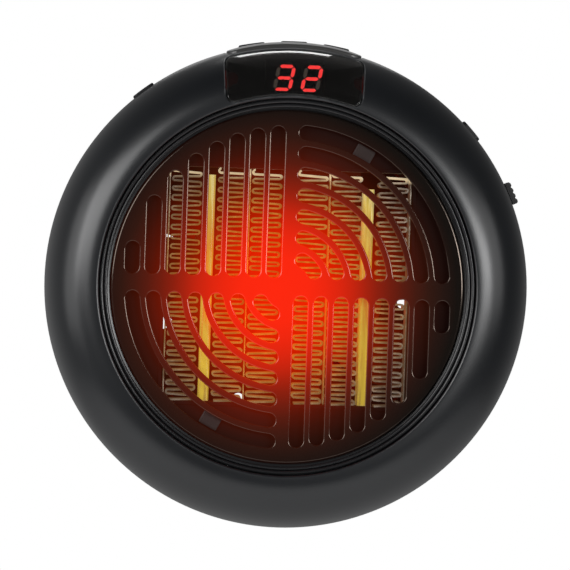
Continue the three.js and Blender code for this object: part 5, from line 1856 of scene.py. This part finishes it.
class HEATER_PG_studio(bpy.types.PropertyGroup):
    """Camera and lights"""

    lens: FloatProperty(
        name="Lens", description="Focal length", default=268.8, min=20, max=500, unit="CAMERA")
    distance: FloatProperty(
        name="Distance", description="From the camera to the widest part of the body",
        default=1.5, min=0.3, max=5, unit="LENGTH")
    yaw: FloatProperty(
        name="Yaw", description="How far the camera stands to the left",
        default=math.radians(1.6), unit="ROTATION")
    pitch: FloatProperty(
        name="Pitch", description="How far the camera stands above",
        default=math.radians(0.5), unit="ROTATION")
    roll: FloatProperty(
        name="Roll", description="Turn of the camera about its line of sight",
        default=math.radians(2.0), unit="ROTATION")
    shift_x: FloatProperty(name="Shift across", description="Lens shift across", default=-0.0013)
    shift_y: FloatProperty(name="Shift up", description="Lens shift upwards", default=0.0026)
    floor_height: FloatProperty(
        name="Floor height", description="Height of the floor", default=-0.7, unit="LENGTH")
    floor_reach: FloatProperty(
        name="Floor reach", description="Radius of the floor", default=1.35, unit="LENGTH")
    left_power: FloatProperty(
        name="Left softbox", description="Power of the left softbox", default=6.6, unit="POWER")
    right_power: FloatProperty(
        name="Right softbox", description="Power of the right softbox", default=4.2,
        unit="POWER")
    top_power: FloatProperty(
        name="Top strip", description="Power of the strip light overhead", default=0.6,
        unit="POWER")
    front_glow: FloatProperty(
        name="Front", description="Brightness that gloss picks up from the room in front",
        default=0.05, min=0)
    back_glow: FloatProperty(
        name="Back", description="Brightness that gloss picks up from behind",
        default=0.24, min=0)
    fill: FloatProperty(
        name="Fill", description="Brightness of the surroundings on matt surfaces",
        default=0.30, min=0)


OPERATORS = (
    HEATER_OT_front_bezel,
    HEATER_OT_rear_shell,
    HEATER_OT_trim_ring,
    HEATER_OT_grille,
    HEATER_OT_display,
    HEATER_OT_controls,
    HEATER_OT_element,
    HEATER_OT_fan,
    HEATER_OT_screws,
    HEATER_OT_plug,
    HEATER_OT_inner_parts,
    HEATER_OT_stage,
)


class HEATER_PT_panel(bpy.types.Panel):
    """Lists the heater's pieces, sizes and colours"""

    bl_idname = "HEATER_PT_panel"
    bl_label = "Fan heater"
    bl_space_type = "VIEW_3D"
    bl_region_type = "UI"
    bl_category = "Heater"

    def draw(self, context):
        for operator in OPERATORS:
            self.layout.operator(operator.bl_idname)
        scene = context.scene
        for group in (scene.heater, scene.heater_colours, scene.heater_studio):
            box = self.layout.box()
            for name in group.bl_rna.properties.keys():
                if name not in ("rna_type", "name"):
                    box.prop(group, name)


CLASSES = (HEATER_PG_sizes, HEATER_PG_colours, HEATER_PG_studio, *OPERATORS, HEATER_PT_panel)


def register():
    for cls in CLASSES:
        bpy.utils.register_class(cls)
    bpy.types.Scene.heater = PointerProperty(type=HEATER_PG_sizes)
    bpy.types.Scene.heater_colours = PointerProperty(type=HEATER_PG_colours)
    bpy.types.Scene.heater_studio = PointerProperty(type=HEATER_PG_studio)


def unregister():
    del bpy.types.Scene.heater
    del bpy.types.Scene.heater_colours
    del bpy.types.Scene.heater_studio
    for cls in reversed(CLASSES):
        bpy.utils.unregister_class(cls)


def main():
    register()
    build_finishes(bpy.context.scene.heater_colours)
    for operator in OPERATORS:
        group, name = operator.bl_idname.split(".")
        getattr(getattr(bpy.ops, group), name)()


if __name__ == "__main__":
    main()
